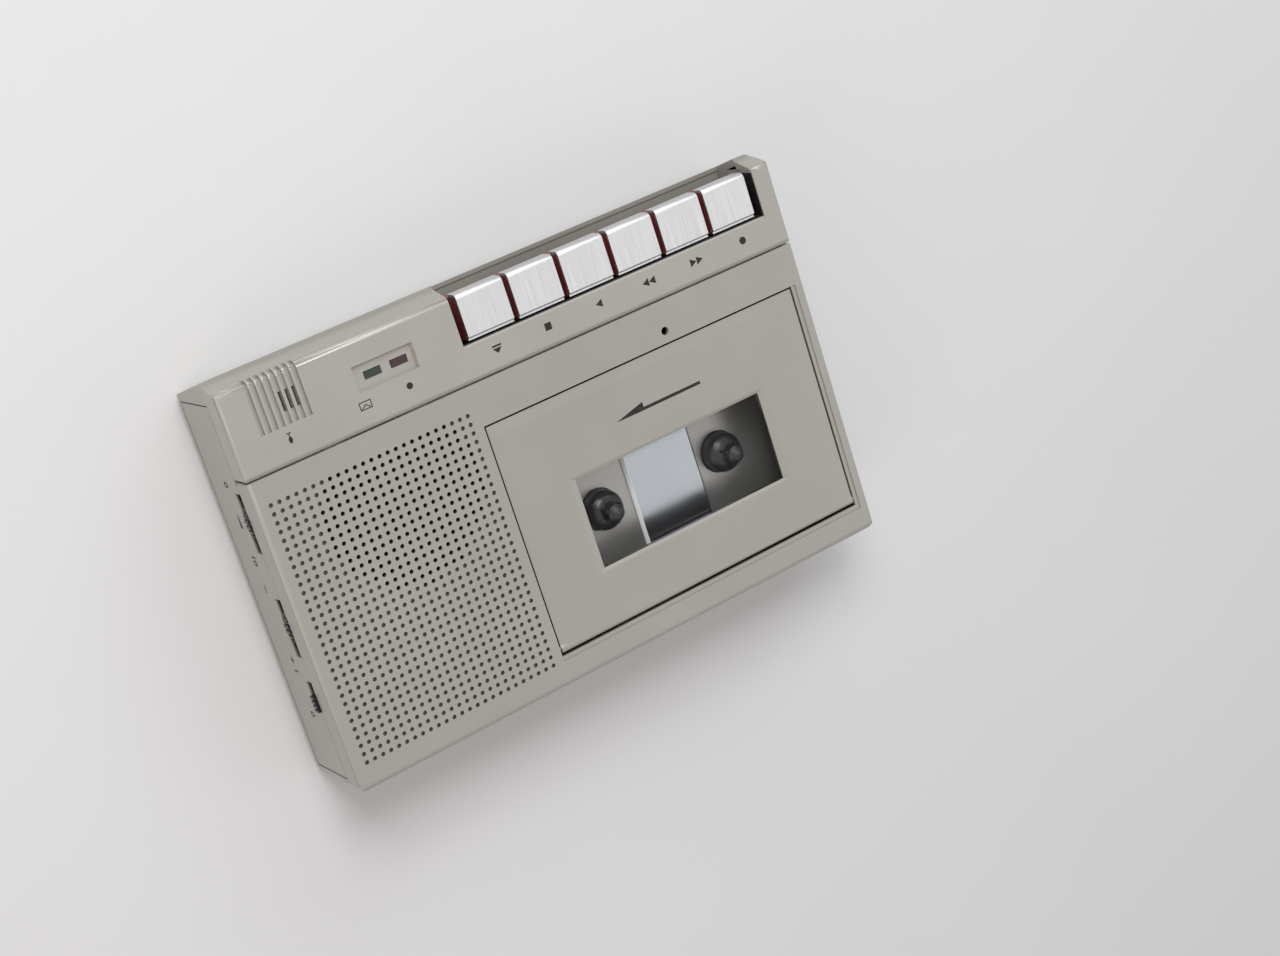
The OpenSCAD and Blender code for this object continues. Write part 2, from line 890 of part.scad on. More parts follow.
module rear_cover() {
    color(case_grey)
        difference() {
            union() {
                difference() {
                    outer_slice(grown([yf, yb], over), [z_bot - over, z_seam]);
                    inner_form();
                }
                key_shelf();
                for (p = all_screws)
                    post(p[0], p[1], z_floor - eps, boss_bottom, boss_r + boss_foot);
                for (x = chassis_post_x)
                    for (y = chassis_post_y)
                        post(x, y, z_floor - eps, chassis_z0, chassis_post_r);
                for (x = [board_x0 + board_post_in, board_x1 - board_post_in])
                    for (y = [board_y0 + board_post_in, board_y1 - board_post_in])
                        post(x, y, z_floor - eps, board_z0, board_post_r);
            }
            for (p = all_screws) {
                post(p[0], p[1], z_bot - over, boss_bottom + over, screw_r + run_play);
                post(p[0], p[1], z_bot - over, screw_seat, screw_head_r + screw_head_play);
            }
            key_cutout();
            panel_opening(panel_gap);
            hatch_opening(shell_gap);
            for (y = jack_y)
                rod_x(-xe - over, -xe + wall + over, y, jack_z, jack_r + shell_gap);
        }
}

// Slot in the end panel for a dial or the switch
module end_slot(y, l) {
    block([xe - wall - over, xe + over], about(y, l), [slot_z, z_seam + over]);
    block([xe - wall - over, xe - slot_lip], grown(about(y, l), slot_side),
          [slot_z - slot_drop, z_seam + over]);
}

module end_panel() {
    lug_x = [xe - wall - panel_lug, xe - wall];
    lug_z = [panel_lug_top - panel_lug_h, panel_lug_top];
    color(case_grey * 0.97)
        difference() {
            union() {
                block([xe - wall, xe], [panel_y0, panel_y1], [panel_z0, z_seam - panel_gap]);
                block(lug_x, [panel_y0 - panel_side_lap, panel_y0 + panel_lug_w], lug_z);
                block(lug_x, [panel_y1 - panel_lug_w, panel_y1 + panel_side_lap], lug_z);
                for (y = [panel_y0 + panel_foot_in, (panel_y0 + panel_y1) / 2, panel_y1 - panel_foot_in])
                    block(lug_x, about(y, panel_foot_l),
                          [panel_z0 - panel_foot_drop, panel_z0 + panel_foot_h]);
            }
            for (y = dial_y)
                end_slot(y, dial_slot);
            end_slot(switch_y, switch_slot);
        }
}

module battery_door() {
    color(case_grey)
        difference() {
            intersection() {
                outer_form();
                union() {
                    block([hatch_x0, hatch_x1], [hatch_y0, yb + over], [z_bot - over, z_floor - shell_gap]);
                    block(grown([hatch_x0, hatch_x1], hatch_tongue), [hatch_y0 - hatch_tongue, yb + over],
                          [hatch_split + shell_gap, z_floor - shell_gap]);
                }
            }
            for (i = [0:hatch_grips - 1]) {
                y = hatch_grip_y + i * hatch_grip_pitch;
                block(about((hatch_x0 + hatch_x1) / 2, hatch_grip_l), [y, y + hatch_grip_w],
                      [z_bot - over, z_bot + hatch_grip_d]);
            }
        }
}

module rubber_feet() {
    color(rubber)
        for (x = [-1, 1])
            for (y = [-1, 1])
                translate([x * foot_x, y * foot_y, 0])
                    linear_extrude(foot_h) round_rect(foot_w, foot_l, foot_w / 2 - foot_end);
}

module case_screws() {
    head_z = screw_seat - screw_head_h;
    cross_z = [head_z - over, head_z + screw_cross_d];
    color(steel)
        for (p = all_screws) {
            difference() {
                post(p[0], p[1], head_z, screw_seat, screw_head_r);
                block(about(p[0], screw_cross_l), about(p[1], screw_cross_w), cross_z);
                block(about(p[0], screw_cross_w), about(p[1], screw_cross_l), cross_z);
            }
            post(p[0], p[1], screw_seat - eps, boss_bottom + screw_bite, screw_r);
        }
}

module cassette_well() {
    boss_gap_y = hinge_boss_wall + move_gap;
    front_y = [well_y0 - well_wall - over, well_y0 + over];
    color(well_black)
        difference() {
            block(grown(well_x, well_wall), grown([well_y0, well_y1], well_wall), [chassis_z1, z_face]);
            block(well_x, [well_y0, well_y1], [chassis_z1 - over, z_face + over]);
            block([deck_x - head_left - head_open, deck_x + head_right + head_open], front_y,
                  [chassis_z1 - over, z_face - head_lintel]);
            block(grown(well_x, well_wall + over), grown(about(hinge_y, 2 * barrel_r), boss_gap_y),
                  [hinge_z - barrel_r - boss_gap_y, z_face + over]);
            block(grown(about(latch_x, latch_w), move_gap), front_y,
                  grown([latch_z, latch_z + latch_t], move_gap));
        }
}

module deck_plate() {
    color(case_grey * 0.9)
        difference() {
            union() {
                block(grown(well_x, -deck_play), [deck_y0, well_y1 - deck_play], [deck_z - deck_t, deck_z]);
                for (x = deck_post_x)
                    for (y = deck_post_y)
                        post(x, y, chassis_z1, deck_z - deck_t + eps, deck_post_r);
                block(about(deck_x, deck_rest_l), [deck_rest_y, deck_rest_y + deck_rest_w],
                      [chassis_z1, deck_z - deck_t + eps]);
            }
            for (x = hub_x)
                post(x, spindle_y, deck_z - deck_t - over, deck_z + over, collar_r + move_gap);
        }
}

module trim_plate() {
    half = trim_l / 2;
    top = deck_z + trim_h;
    color([0.75, 0.78, 0.82])
        translate([trim_x, (trim_y[0] + trim_y[1]) / 2, 0])
            along_y(trim_y[1] - trim_y[0])
                polygon([
                    [-half, deck_z], [-half, top - trim_c], [-half + trim_c, top],
                    [half - trim_c, top], [half, top - trim_c], [half, deck_z]
                ]);
}

// Flat plate of the door with its sloped border and the hinge barrel along its edge
module door_body() {
    intersection() {
        translate([deck_x, 0, 0])
            along_y(2 * body_w)
                polygon([
                    [-door_l / 2, door_under], [-door_l / 2, z_top - border_drop],
                    [-door_l / 2 + door_slope, z_top], [door_l / 2 - door_slope, z_top],
                    [door_l / 2, z_top - border_drop], [door_l / 2, door_under]
                ]);
        along_x(2 * body_l)
            polygon([
                [door_y0, door_under], [door_y0, z_top - border_drop],
                [door_y0 + door_slope, z_top], [hinge_y - barrel_blend, z_top],
                [hinge_y, hinge_z], [hinge_y, door_under]
            ]);
    }
    rod_x(door_x[0], door_x[1], hinge_y, hinge_z, barrel_r);
}

// Window opening: a shallow bevel over upright walls
module window_cut() {
    y = about(window_y0 + window_w / 2, window_in_w);
    bevel_z = z_top - window_bevel_d;
    hull() {
        block(about(deck_x, window_l), [window_y0, window_y0 + window_w], [z_top, z_top + over]);
        block(about(deck_x, window_in_l), y, [bevel_z - eps, bevel_z]);
    }
    block(about(deck_x, window_in_l), y, [door_under - over, z_top]);
}

module cassette_door() {
    rib_x = grown(door_x, -door_rib_in);
    rib_y = door_y0 + door_rib_in;
    rib_z = [door_under - door_rib_h, door_under + eps];
    hole_r = hinge_pin_r + run_play;
    color(case_grey)
        difference() {
            union() {
                door_body();
                for (x = rib_x)
                    block(about(x, door_rib_t), [rib_y, hinge_y - door_rib_end], rib_z);
                block(rib_x, [rib_y, rib_y + door_rib_t], rib_z);
            }
            window_cut();
            rod_x(door_x[0] - over, door_x[0] + hinge_pin_in + over, hinge_y, hinge_z, hole_r);
            rod_x(door_x[1] - hinge_pin_in - over, door_x[1] + over, hinge_y, hinge_z, hole_r);
        }
}

// Block inside the window's upright walls
module pane_block(play, z) {
    block(grown(about(deck_x, window_in_l), -play),
          grown(about(window_y0 + window_w / 2, window_in_w), -play), z);
}

module door_window() {
    color([0.8, 0.85, 0.88, 0.35])
        difference() {
            union() {
                translate([deck_x, window_y0 + window_w / 2, door_under - pane_t])
                    linear_extrude(pane_t)
                        round_rect(window_l + 2 * pane_lap, window_w + 2 * pane_lap, pane_r);
                pane_block(shell_gap, [door_under - eps, z_top - window_bevel_d]);
            }
            pane_block(shell_gap + pane_wall, [door_under - pane_t - over, z_top - window_bevel_d - pane_t]);
        }
}

module hinge_pins() {
    reach = door_gap + hinge_pin_out;
    color(steel) {
        rod_x(door_x[0] - reach, door_x[0] + hinge_pin_in, hinge_y, hinge_z, hinge_pin_r);
        rod_x(door_x[1] - hinge_pin_in, door_x[1] + reach, hinge_y, hinge_z, hinge_pin_r);
    }
}

module door_latch() {
    x = about(latch_x, latch_w);
    color(steel) {
        block(x, [latch_y, door_y0 + door_rib_in - move_gap], [latch_z, latch_z + latch_t]);
        block(x, [latch_y, latch_y + latch_t], [chassis_z1 + slide_gap, latch_z + eps]);
    }
}

// Moulded lever of one key
module key_lever(x) {
    body_x = grown(about(x, cap_l), -key_inset);
    hub_half = key_hub_l / 2;
    color(key_red)
        difference() {
            union() {
                block(body_x, [cap_y0 + cap_t, cap_y1 - 2 * eps], [key_bottom, cap_z - cap_t]);
                block(body_x, [cap_y1 - 3 * eps, cap_y1 + cap_ledge_w],
                      [key_bottom + key_step, cap_z - cap_ledge_drop - cap_t]);
                block(about(x, key_hub_l), [cap_y1, key_pivot_y], about(key_pivot_z, key_arm_h));
                rod_x(x - hub_half, x + hub_half, key_pivot_y, key_pivot_z, key_hub_r);
                block(about(x, key_tail_l), about(key_pivot_y, key_tail_w),
                      [key_pivot_z - key_tail_h, key_pivot_z]);
            }
            rod_x(x - key_hub_l, x + key_hub_l, key_pivot_y, key_pivot_z, key_shaft_r + run_play);
            block(grown(body_x, -key_wall), grown([cap_y0 + cap_t, cap_y1], -key_wall),
                  [key_bottom - over, cap_z - cap_t - key_roof]);
        }
}

// Aluminium cap that covers one key, with its rolled front and its rear ledge
module key_cap(x) {
    inner_z = cap_z - cap_t;
    front_z = cap_z - cap_front_h;
    ledge_z = cap_z - cap_ledge_drop;
    color(cap_silver)
        translate([x, 0, 0]) {
            along_x(cap_l)
                difference() {
                    union() {
                        polygon([
                            [cap_y0, front_z], [cap_y0 + cap_t, front_z],
                            [cap_y0 + cap_t, inner_z], [cap_y1, inner_z], [cap_y1, cap_z],
                            [cap_y0 + cap_r, cap_z], [cap_y0 + cap_r, cap_z - cap_r], [cap_y0, cap_z - cap_r]
                        ]);
                        translate([cap_y0 + cap_r, cap_z - cap_r]) circle(cap_r);
                    }
                    translate([cap_y0 + cap_t, front_z]) square([cap_w / 2, cap_front_h - cap_t]);
                }
            along_x(cap_l)
                polygon([
                    [cap_y1 - eps, cap_z], [cap_y1, cap_z], [cap_y1 + cap_lean, ledge_z],
                    [cap_y1 + cap_ledge_w, ledge_z], [cap_y1 + cap_ledge_w, ledge_z - cap_t],
                    [cap_y1, ledge_z - cap_t], [cap_y1 - eps, inner_z]
                ]);
        }
}

module record_key() { key_lever(key_x[0]); }
module rewind_key() { key_lever(key_x[1]); }
module forward_key() { key_lever(key_x[2]); }
module play_key() { key_lever(key_x[3]); }
module stop_key() { key_lever(key_x[4]); }
module eject_key() { key_lever(key_x[5]); }
module record_cap() { key_cap(key_x[0]); }
module rewind_cap() { key_cap(key_x[1]); }
module forward_cap() { key_cap(key_x[2]); }
module play_cap() { key_cap(key_x[3]); }
module stop_cap() { key_cap(key_x[4]); }
module eject_cap() { key_cap(key_x[5]); }

module key_shaft() {
    color(steel)
        rod_x(ear_x[0], ear_x[1] + ear_t, key_pivot_y, key_pivot_z, key_shaft_r);
}

module key_springs() {
    bore_r = key_shaft_r + spring_play;
    color(steel)
        for (x1 = key_x) {
            x = about(x1 - key_hub_l / 2 - spring_l / 2 - move_gap, spring_l);
            difference() {
                union() {
                    rod_x(x[0], x[1], key_pivot_y, key_pivot_z, bore_r + spring_t);
                    block([x[0], x[0] + spring_t], about(key_pivot_y, spring_t), [chassis_z1, key_pivot_z]);
                }
                rod_x(x[0] - over, x[1] + over, key_pivot_y, key_pivot_z, bore_r);
            }
        }
}

// Lamp with its flange under the strip and two legs down to the board
module lamp(x) {
    bottom = z_face - lamp_h;
    block(about(x, lamp_l), about(lamp_y, lamp_w), [bottom, z_top - lamp_recess_d + lamp_proud]);
    block(grown(about(x, lamp_l), lamp_flange), grown(about(lamp_y, lamp_w), lamp_flange),
          [z_face - lamp_flange_t, z_face]);
    for (side = [-1, 1])
        block(about(x + side * lamp_leg_pitch / 2, lamp_leg), about(lamp_y, lamp_leg),
              [board_z1, bottom + eps]);
}

module message_lamp() { color([0.1, 0.35, 0.2]) lamp(lamp_mid + lamp_pitch / 2); }
module record_lamp() { color([0.4, 0.05, 0.08]) lamp(lamp_mid - lamp_pitch / 2); }

module microphone() {
    color(steel)
        post(mic_x, mic_y, z_face - mic_h, z_face - mic_gap, mic_r);
}

module microphone_boot() {
    color(rubber)
        difference() {
            post(mic_x, mic_y, z_face - mic_h - mic_boot_floor, z_face, mic_r + mic_boot_t);
            post(mic_x, mic_y, z_face - mic_h, z_face + over, mic_r + run_play);
        }
}

module speaker_basket() {
    color(steel)
        translate([speaker_x, speaker_y, 0])
            rotate_extrude()
                polygon([
                    [flange_in, z_face], [flange_out, z_face], [flange_out, z_face - flange_t],
                    [flange_in + basket_t, z_face - flange_t], [magnet_r + basket_t, basket_z], [0, basket_z],
                    [0, basket_z + basket_t], [magnet_r, basket_z + basket_t],
                    [flange_in, z_face - flange_t]
                ]);
}

module speaker_cone() {
    rim_z = z_face - flange_t;
    color([0.05, 0.05, 0.05])
        translate([speaker_x, speaker_y, 0])
            rotate_extrude()
                polygon([
                    [flange_in, z_face], [flange_in, rim_z], [flange_in - cone_edge, rim_z],
                    [coil_r, basket_z + coil_h - cone_t], [coil_r, basket_z + basket_t],
                    [coil_r - coil_t, basket_z + basket_t], [coil_r - coil_t, basket_z + coil_h],
                    [0, basket_z + dust_h], [0, basket_z + dust_h + cone_t],
                    [coil_r, basket_z + coil_h + cone_t],
                    [flange_in - cone_lip, rim_z + cone_t], [flange_in - surround_w, z_face - surround_drop]
                ]);
}

module speaker_magnet() {
    color([0.2, 0.2, 0.22])
        post(speaker_x, speaker_y, basket_z - magnet_h, basket_z, magnet_r);
}

module mechanism_chassis() {
    ear_y = about(key_pivot_y, 2 * ear_half);
    color(steel)
        difference() {
            union() {
                block(chassis_x, [ear_y[0], well_y1 + well_wall], [chassis_z0, chassis_z1]);
                for (x = ear_x)
                    block([x, x + ear_t], ear_y, [chassis_z0, ear_top]);
                for (x = guide_x) {
                    rivet_z = head_z1 + slide_gap;
                    post(x, head_y_mid, chassis_z0, rivet_z + eps, guide_r);
                    post(x, head_y_mid, rivet_z, rivet_z + guide_head_t, guide_head_r);
                }
            }
            rod_x(ear_x[0] - over, ear_x[1] + ear_t + over, key_pivot_y, key_pivot_z,
                  key_shaft_r + run_play);
            for (x = hub_x)
                post(x, spindle_y, chassis_z0 - over, chassis_z1 + over, spindle_shaft_r + run_play);
            post(capstan_x, capstan_y, chassis_z0 - over, chassis_z1 + over,
                 capstan_r + bearing_t + run_play);
        }
}

// Reel spindle: a finned dome above the well floor, its shaft and the gear under the chassis
module spindle(x) {
    gear_z = chassis_z0 - slide_gap;
    tip_z = deck_z + spindle_h;
    dome = [for (a = [0:dome_step:dome_end]) [collar_r * cos(a), deck_z + dome_z + dome_h * sin(a)]];
    color(well_black)
        translate([x, spindle_y, 0]) {
            rotate_extrude()
                polygon(concat(
                    [[0, gear_z - reel_gear_t], [reel_gear_r, gear_z - reel_gear_t], [reel_gear_r, gear_z],
                     [spindle_shaft_r, gear_z], [spindle_shaft_r, chassis_z1 + slide_gap],
                     [collar_r, chassis_z1 + slide_gap]],
                    dome,
                    [[spindle_tip_r, deck_z + dome_z + dome_h], [spindle_tip_r, tip_z - spindle_tip_h],
                     [spindle_tip_r - spindle_tip_c, tip_z - spindle_tip_c], [0, tip_z]]
                ));
            for (i = [0:spindle_fins - 1])
                rotate([0, 0, i * 360 / spindle_fins])
                    block(about(0, spindle_fin_t), [0, spindle_fin_r],
                          [deck_z + spindle_fin_z, tip_z - spindle_fin_end]);
        }
}

module supply_spindle() { spindle(hub_x[0]); }
module takeup_spindle() { spindle(hub_x[1]); }

module capstan_shaft() {
    color([0.8, 0.8, 0.82])
        post(capstan_x, capstan_y, z_floor + slide_gap, capstan_top, capstan_r);
}

module capstan_bearing() {
    color(brass)
        ring(capstan_x, capstan_y, flywheel_z0 + flywheel_h + move_gap, chassis_z1 + bearing_up,
             capstan_r + run_play, capstan_r + bearing_t);
}

// Wheel with a belt groove round its rim
module belt_wheel(x, y, z0, z1, r, bore) {
    difference() {
        post(x, y, z0, z1, r + belt_groove);
        post(x, y, z0 - over, z1 + over, bore);
        ring(x, y, belt_z - move_gap, belt_z + belt_h + move_gap, r, r + belt_groove + over);
    }
}

module flywheel() {
    color([0.6, 0.5, 0.3])
        belt_wheel(capstan_x, capstan_y, flywheel_z0, flywheel_z0 + flywheel_h, flywheel_r, capstan_r);
}

module motor() {
    bore_top = motor_bottom + motor_shaft_in + motor_shaft_end;
    color(steel)
        difference() {
            post(motor_x, motor_y, motor_bottom, chassis_z0, motor_r);
            post(motor_x, motor_y, motor_bottom - over, bore_top, motor_shaft_r + run_play);
        }
}

module motor_pulley() {
    color(brass) {
        belt_wheel(motor_x, motor_y, flywheel_z0, motor_bottom - move_gap, pulley_r, motor_shaft_r - eps);
        post(motor_x, motor_y, flywheel_z0, motor_bottom + motor_shaft_in, motor_shaft_r);
    }
}

// Outline of a band round both wheels, at a distance outside their running radii
module band(extra) {
    hull() {
        translate([capstan_x, capstan_y]) circle(flywheel_r + extra, $fn = 96);
        translate([motor_x, motor_y]) circle(pulley_r + extra, $fn = 48);
    }
}

module drive_belt() {
    color(rubber)
        translate([0, 0, belt_z])
            linear_extrude(belt_h)
                difference() {
                    band(belt_gap + belt_t);
                    band(belt_gap);
                }
}

module head_plate() {
    slot = guide_r + move_gap;
    color(steel)
        difference() {
            block([deck_x - head_left, deck_x + head_right], [head_y0, head_y1], [head_z0, head_z1]);
            for (x = guide_x)
                block(about(x, 2 * slot), [head_y_mid - slot - head_travel, head_y_mid + slot],
                      grown([head_z0, head_z1], over));
        }
}

// Head block with a rounded face towards the tape
module head_block(x, l, w, z1) {
    nose_z = [head_z1 + head_nose_low, z1 - head_nose_high];
    translate([x, head_y1 - w, 0]) {
        block(about(0, l), [0, w], [head_z1, z1]);
        intersection() {
            post(0, w - l, nose_z[0], nose_z[1], l * head_nose_r);
            block(about(0, l), [0, w + l], nose_z);
        }
    }
}

module record_head() {
    color([0.8, 0.8, 0.8]) head_block(deck_x, record_head_l, record_head_w, head_top);
}

module erase_head() {
    color([0.85, 0.84, 0.8])
        head_block(erase_head_x, erase_head_l, erase_head_w, head_top - erase_head_drop);
}

module pinch_bracket() {
    color(steel) {
        post(capstan_x, pinch_y, head_z1, head_top, pinch_pin_r);
        post(capstan_x, pinch_y, head_z1, head_z1 + pinch_seat_h, pinch_seat_r);
        block(about(capstan_x, pinch_arm_w), [head_y0, pinch_y], [head_z1, head_z1 + pinch_arm_t]);
    }
}

module pinch_roller() {
    z0 = head_z1 + pinch_seat_h + slide_gap;
    color(rubber)
        ring(capstan_x, pinch_y, z0, z0 + pinch_h, pinch_pin_r + run_play, pinch_r);
}

module circuit_board() {
    color([0.35, 0.3, 0.12])
        block([board_x0, board_x1], [board_y0, board_y1], [board_z0, board_z1]);
}

// Electrolytic cans, the amplifier chip, a row of resistors and the filter coils
module board_components() {
    color([0.15, 0.2, 0.35]) {
        for (i = [0:can_count - 1])
            post(board_x0 + (i + 1) * can_pitch, board_y0 + can_y + i % 2, board_z1, board_z1 + can_h, can_r);
        block(about(speaker_x, chip_l), about(speaker_y, chip_w), [board_z1, board_z1 + chip_h]);
        for (i = [0:resistor_count - 1]) {
            x = board_x0 + resistor_in + i * resistor_pitch;
            rod_x(x, x + resistor_l, board_y1 - resistor_in, board_z1 + resistor_r, resistor_r);
        }
        for (i = [0:filter_count - 1]) {
            y = board_y0 + filter_y + i * filter_pitch;
            block([board_x1 - 2 * filter_l, board_x1 - filter_l], [y, y + filter_w],
                  [board_z1, board_z1 + filter_h]);
        }
    }
}

// Thumb dial with grip notches round its rim and a short shaft
module dial(y) {
    color([0.09, 0.09, 0.09])
        translate([dial_x, y, 0]) {
            difference() {
                post(0, 0, dial_z0, dial_z1, dial_r);
                for (i = [0:dial_grip - 1])
                    rotate([0, 0, i * 360 / dial_grip])
                        block([dial_r - dial_grip_d, dial_r + over], about(0, dial_grip_w),
                              grown([dial_z0, dial_z1], over));
            }
            post(0, 0, pot_z0 + dial_shaft_end, dial_z0 + eps, dial_shaft_r);
        }
}

module volume_dial() { dial(dial_y[0]); }
module tone_dial() { dial(dial_y[1]); }

module dial_controls() {
    color([0.3, 0.32, 0.3])
        for (y = dial_y)
            difference() {
                union() {
                    post(dial_x, y, pot_z0, dial_z0 - pot_gap, pot_r);
                    block(about(dial_x, pot_foot), about(y, pot_foot), [board_z1, pot_z0 + eps]);
                }
                post(dial_x, y, pot_z0 + dial_shaft_end / 2, dial_z0, dial_shaft_r + run_play);
            }
}

module switch_body() {
    z0 = slot_z - switch_under;
    color(steel)
        difference() {
            block([xe - wall - switch_d, xe - wall], about(switch_y, switch_l), [z0, z0 + switch_h]);
            block([xe - wall - switch_cut, xe], about(switch_y, switch_slot), [slot_z, z_seam - move_gap]);
        }
}

module switch_knob() {
    z0 = slot_z + move_gap;
    tip_x = xe + knob_out;
    color([0.08, 0.08, 0.08])
        difference() {
            block([xe - wall - switch_cut + move_gap, tip_x], about(knob_y, knob_w), [z0, z0 + knob_h]);
            for (i = [-1:1])
                block([tip_x - knob_groove_d, tip_x + over],
                      about(knob_y + i * knob_groove_pitch, knob_groove_w), grown([z0, z0 + knob_h], over));
        }
}

module battery_box() {
    color(well_black)
        difference() {
            block([box_x0, box_x1], [box_y0, box_y1], [z_floor, z_floor + box_h]);
            block(grown([box_x0, box_x1], -cell_wall), grown([box_y0, box_y1], -cell_wall),
                  [z_floor - over, z_floor + box_h - box_roof]);
        }
}

module battery_contacts() {
    y_mid = (box_y0 + box_y1) / 2;
    z0 = z_floor + contact_up;
    color(steel)
        for (side = [-1, 1])
            for (x = [box_x0 + cell_wall, box_x1 - cell_wall - contact_t])
                block([x, x + contact_t], about(y_mid + side * cell_w / 4, contact_w), [z0, z0 + contact_h]);
}

module jack_sockets() {
    body_end = -xe + wall + jack_depth + jack_floor;
    color([0.1, 0.1, 0.1])
        for (i = [0, 1])
            difference() {
                union() {
                    rod_x(-xe, -xe + wall + eps, jack_y[i], jack_z, jack_r);
                    block([-xe + wall, body_end], about(jack_y[i], jack_body), about(jack_z, jack_body));
                }
                rod_x(-xe - over, -xe + jack_depth, jack_y[i], jack_z, jack_bore[i]);
            }
}

front_panel();
control_panel();
rear_cover();
end_panel();
battery_door();
rubber_feet();
case_screws();
cassette_well();
deck_plate();
trim_plate();
cassette_door();
door_window();
hinge_pins();
door_latch();
record_key();
rewind_key();
forward_key();
play_key();
stop_key();
eject_key();
record_cap();
rewind_cap();
forward_cap();
play_cap();
stop_cap();
eject_cap();
key_shaft();
key_springs();
message_lamp();
record_lamp();
microphone();
microphone_boot();
speaker_basket();
speaker_cone();
speaker_magnet();
mechanism_chassis();
supply_spindle();
takeup_spindle();
capstan_shaft();
capstan_bearing();
flywheel();
motor();
motor_pulley();
drive_belt();
head_plate();
record_head();
erase_head();
pinch_bracket();
pinch_roller();
circuit_board();
board_components();
volume_dial();
tone_dial();
dial_controls();
switch_body();
switch_knob();
battery_box();
battery_contacts();
jack_sockets();
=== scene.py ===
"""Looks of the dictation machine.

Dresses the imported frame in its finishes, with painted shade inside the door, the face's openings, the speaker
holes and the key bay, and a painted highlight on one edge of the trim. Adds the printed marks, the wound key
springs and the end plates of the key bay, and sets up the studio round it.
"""

from __future__ import annotations

import json
import logging
import math
from abc import ABC, abstractmethod
from dataclasses import dataclass, field
from enum import Enum
from typing import Any, Sequence

import bmesh
import bpy
from mathutils import Matrix, Vector

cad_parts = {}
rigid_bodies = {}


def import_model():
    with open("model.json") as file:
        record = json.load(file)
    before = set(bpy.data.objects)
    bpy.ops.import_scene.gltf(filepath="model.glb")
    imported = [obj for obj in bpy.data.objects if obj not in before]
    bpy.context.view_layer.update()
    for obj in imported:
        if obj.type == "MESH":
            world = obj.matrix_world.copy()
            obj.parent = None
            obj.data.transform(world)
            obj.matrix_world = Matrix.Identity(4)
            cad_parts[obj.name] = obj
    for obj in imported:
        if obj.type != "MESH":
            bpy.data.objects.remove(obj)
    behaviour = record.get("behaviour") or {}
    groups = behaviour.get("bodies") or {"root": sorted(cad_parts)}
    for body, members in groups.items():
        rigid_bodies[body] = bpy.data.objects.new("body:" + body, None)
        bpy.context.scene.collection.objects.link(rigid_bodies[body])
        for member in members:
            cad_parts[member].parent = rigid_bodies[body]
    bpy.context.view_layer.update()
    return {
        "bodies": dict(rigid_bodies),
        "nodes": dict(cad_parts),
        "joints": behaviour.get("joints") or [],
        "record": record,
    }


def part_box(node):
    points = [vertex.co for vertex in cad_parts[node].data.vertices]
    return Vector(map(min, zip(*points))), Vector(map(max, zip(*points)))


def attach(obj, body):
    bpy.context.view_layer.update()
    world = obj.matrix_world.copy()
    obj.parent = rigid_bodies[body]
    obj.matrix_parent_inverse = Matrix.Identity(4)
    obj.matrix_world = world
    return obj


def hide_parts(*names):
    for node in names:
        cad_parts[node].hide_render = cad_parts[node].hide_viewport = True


MM = 0.001
LOG = logging.getLogger("dictation_machine")
MADE: dict[str, bpy.types.Material] = {}
MIX_SHARE, MIX_FIRST, MIX_SECOND, MIX_RESULT = 0, 6, 7, 2
MASK_EDGE = 0.04

Colour = tuple[float, float, float]
Pair = tuple[float, float]
Point = tuple[float, float]
Place = tuple[float, float, float]
Outline = list[Point]


class Axis(Enum):
    """The frame's three directions, as unit vectors."""

    X = (1.0, 0.0, 0.0)
    Y = (0.0, 1.0, 0.0)
    Z = (0.0, 0.0, 1.0)


class Body(Enum):
    """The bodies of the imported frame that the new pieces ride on."""

    CASE = "case"
    DOOR = "door"


class Slot(Enum):
    """The record's material slots."""

    CASE = "case_plastic"
    DECK = "deck_grey"
    TRIM = "trim_silver"
    BLACK = "black_plastic"
    PANE = "clear_window"
    KEY = "key_plastic"
    CAP = "cap_metal"
    STEEL = "steel"
    BRASS = "brass"
    HEAD = "head_metal"
    HEAD_CASE = "head_plastic"
    RUBBER = "rubber"
    PAPER = "cone_paper"
    MAGNET = "magnet"
    BOARD = "board"
    COMPONENTS = "components"
    GREEN = "lamp_green"
    RED = "lamp_red"


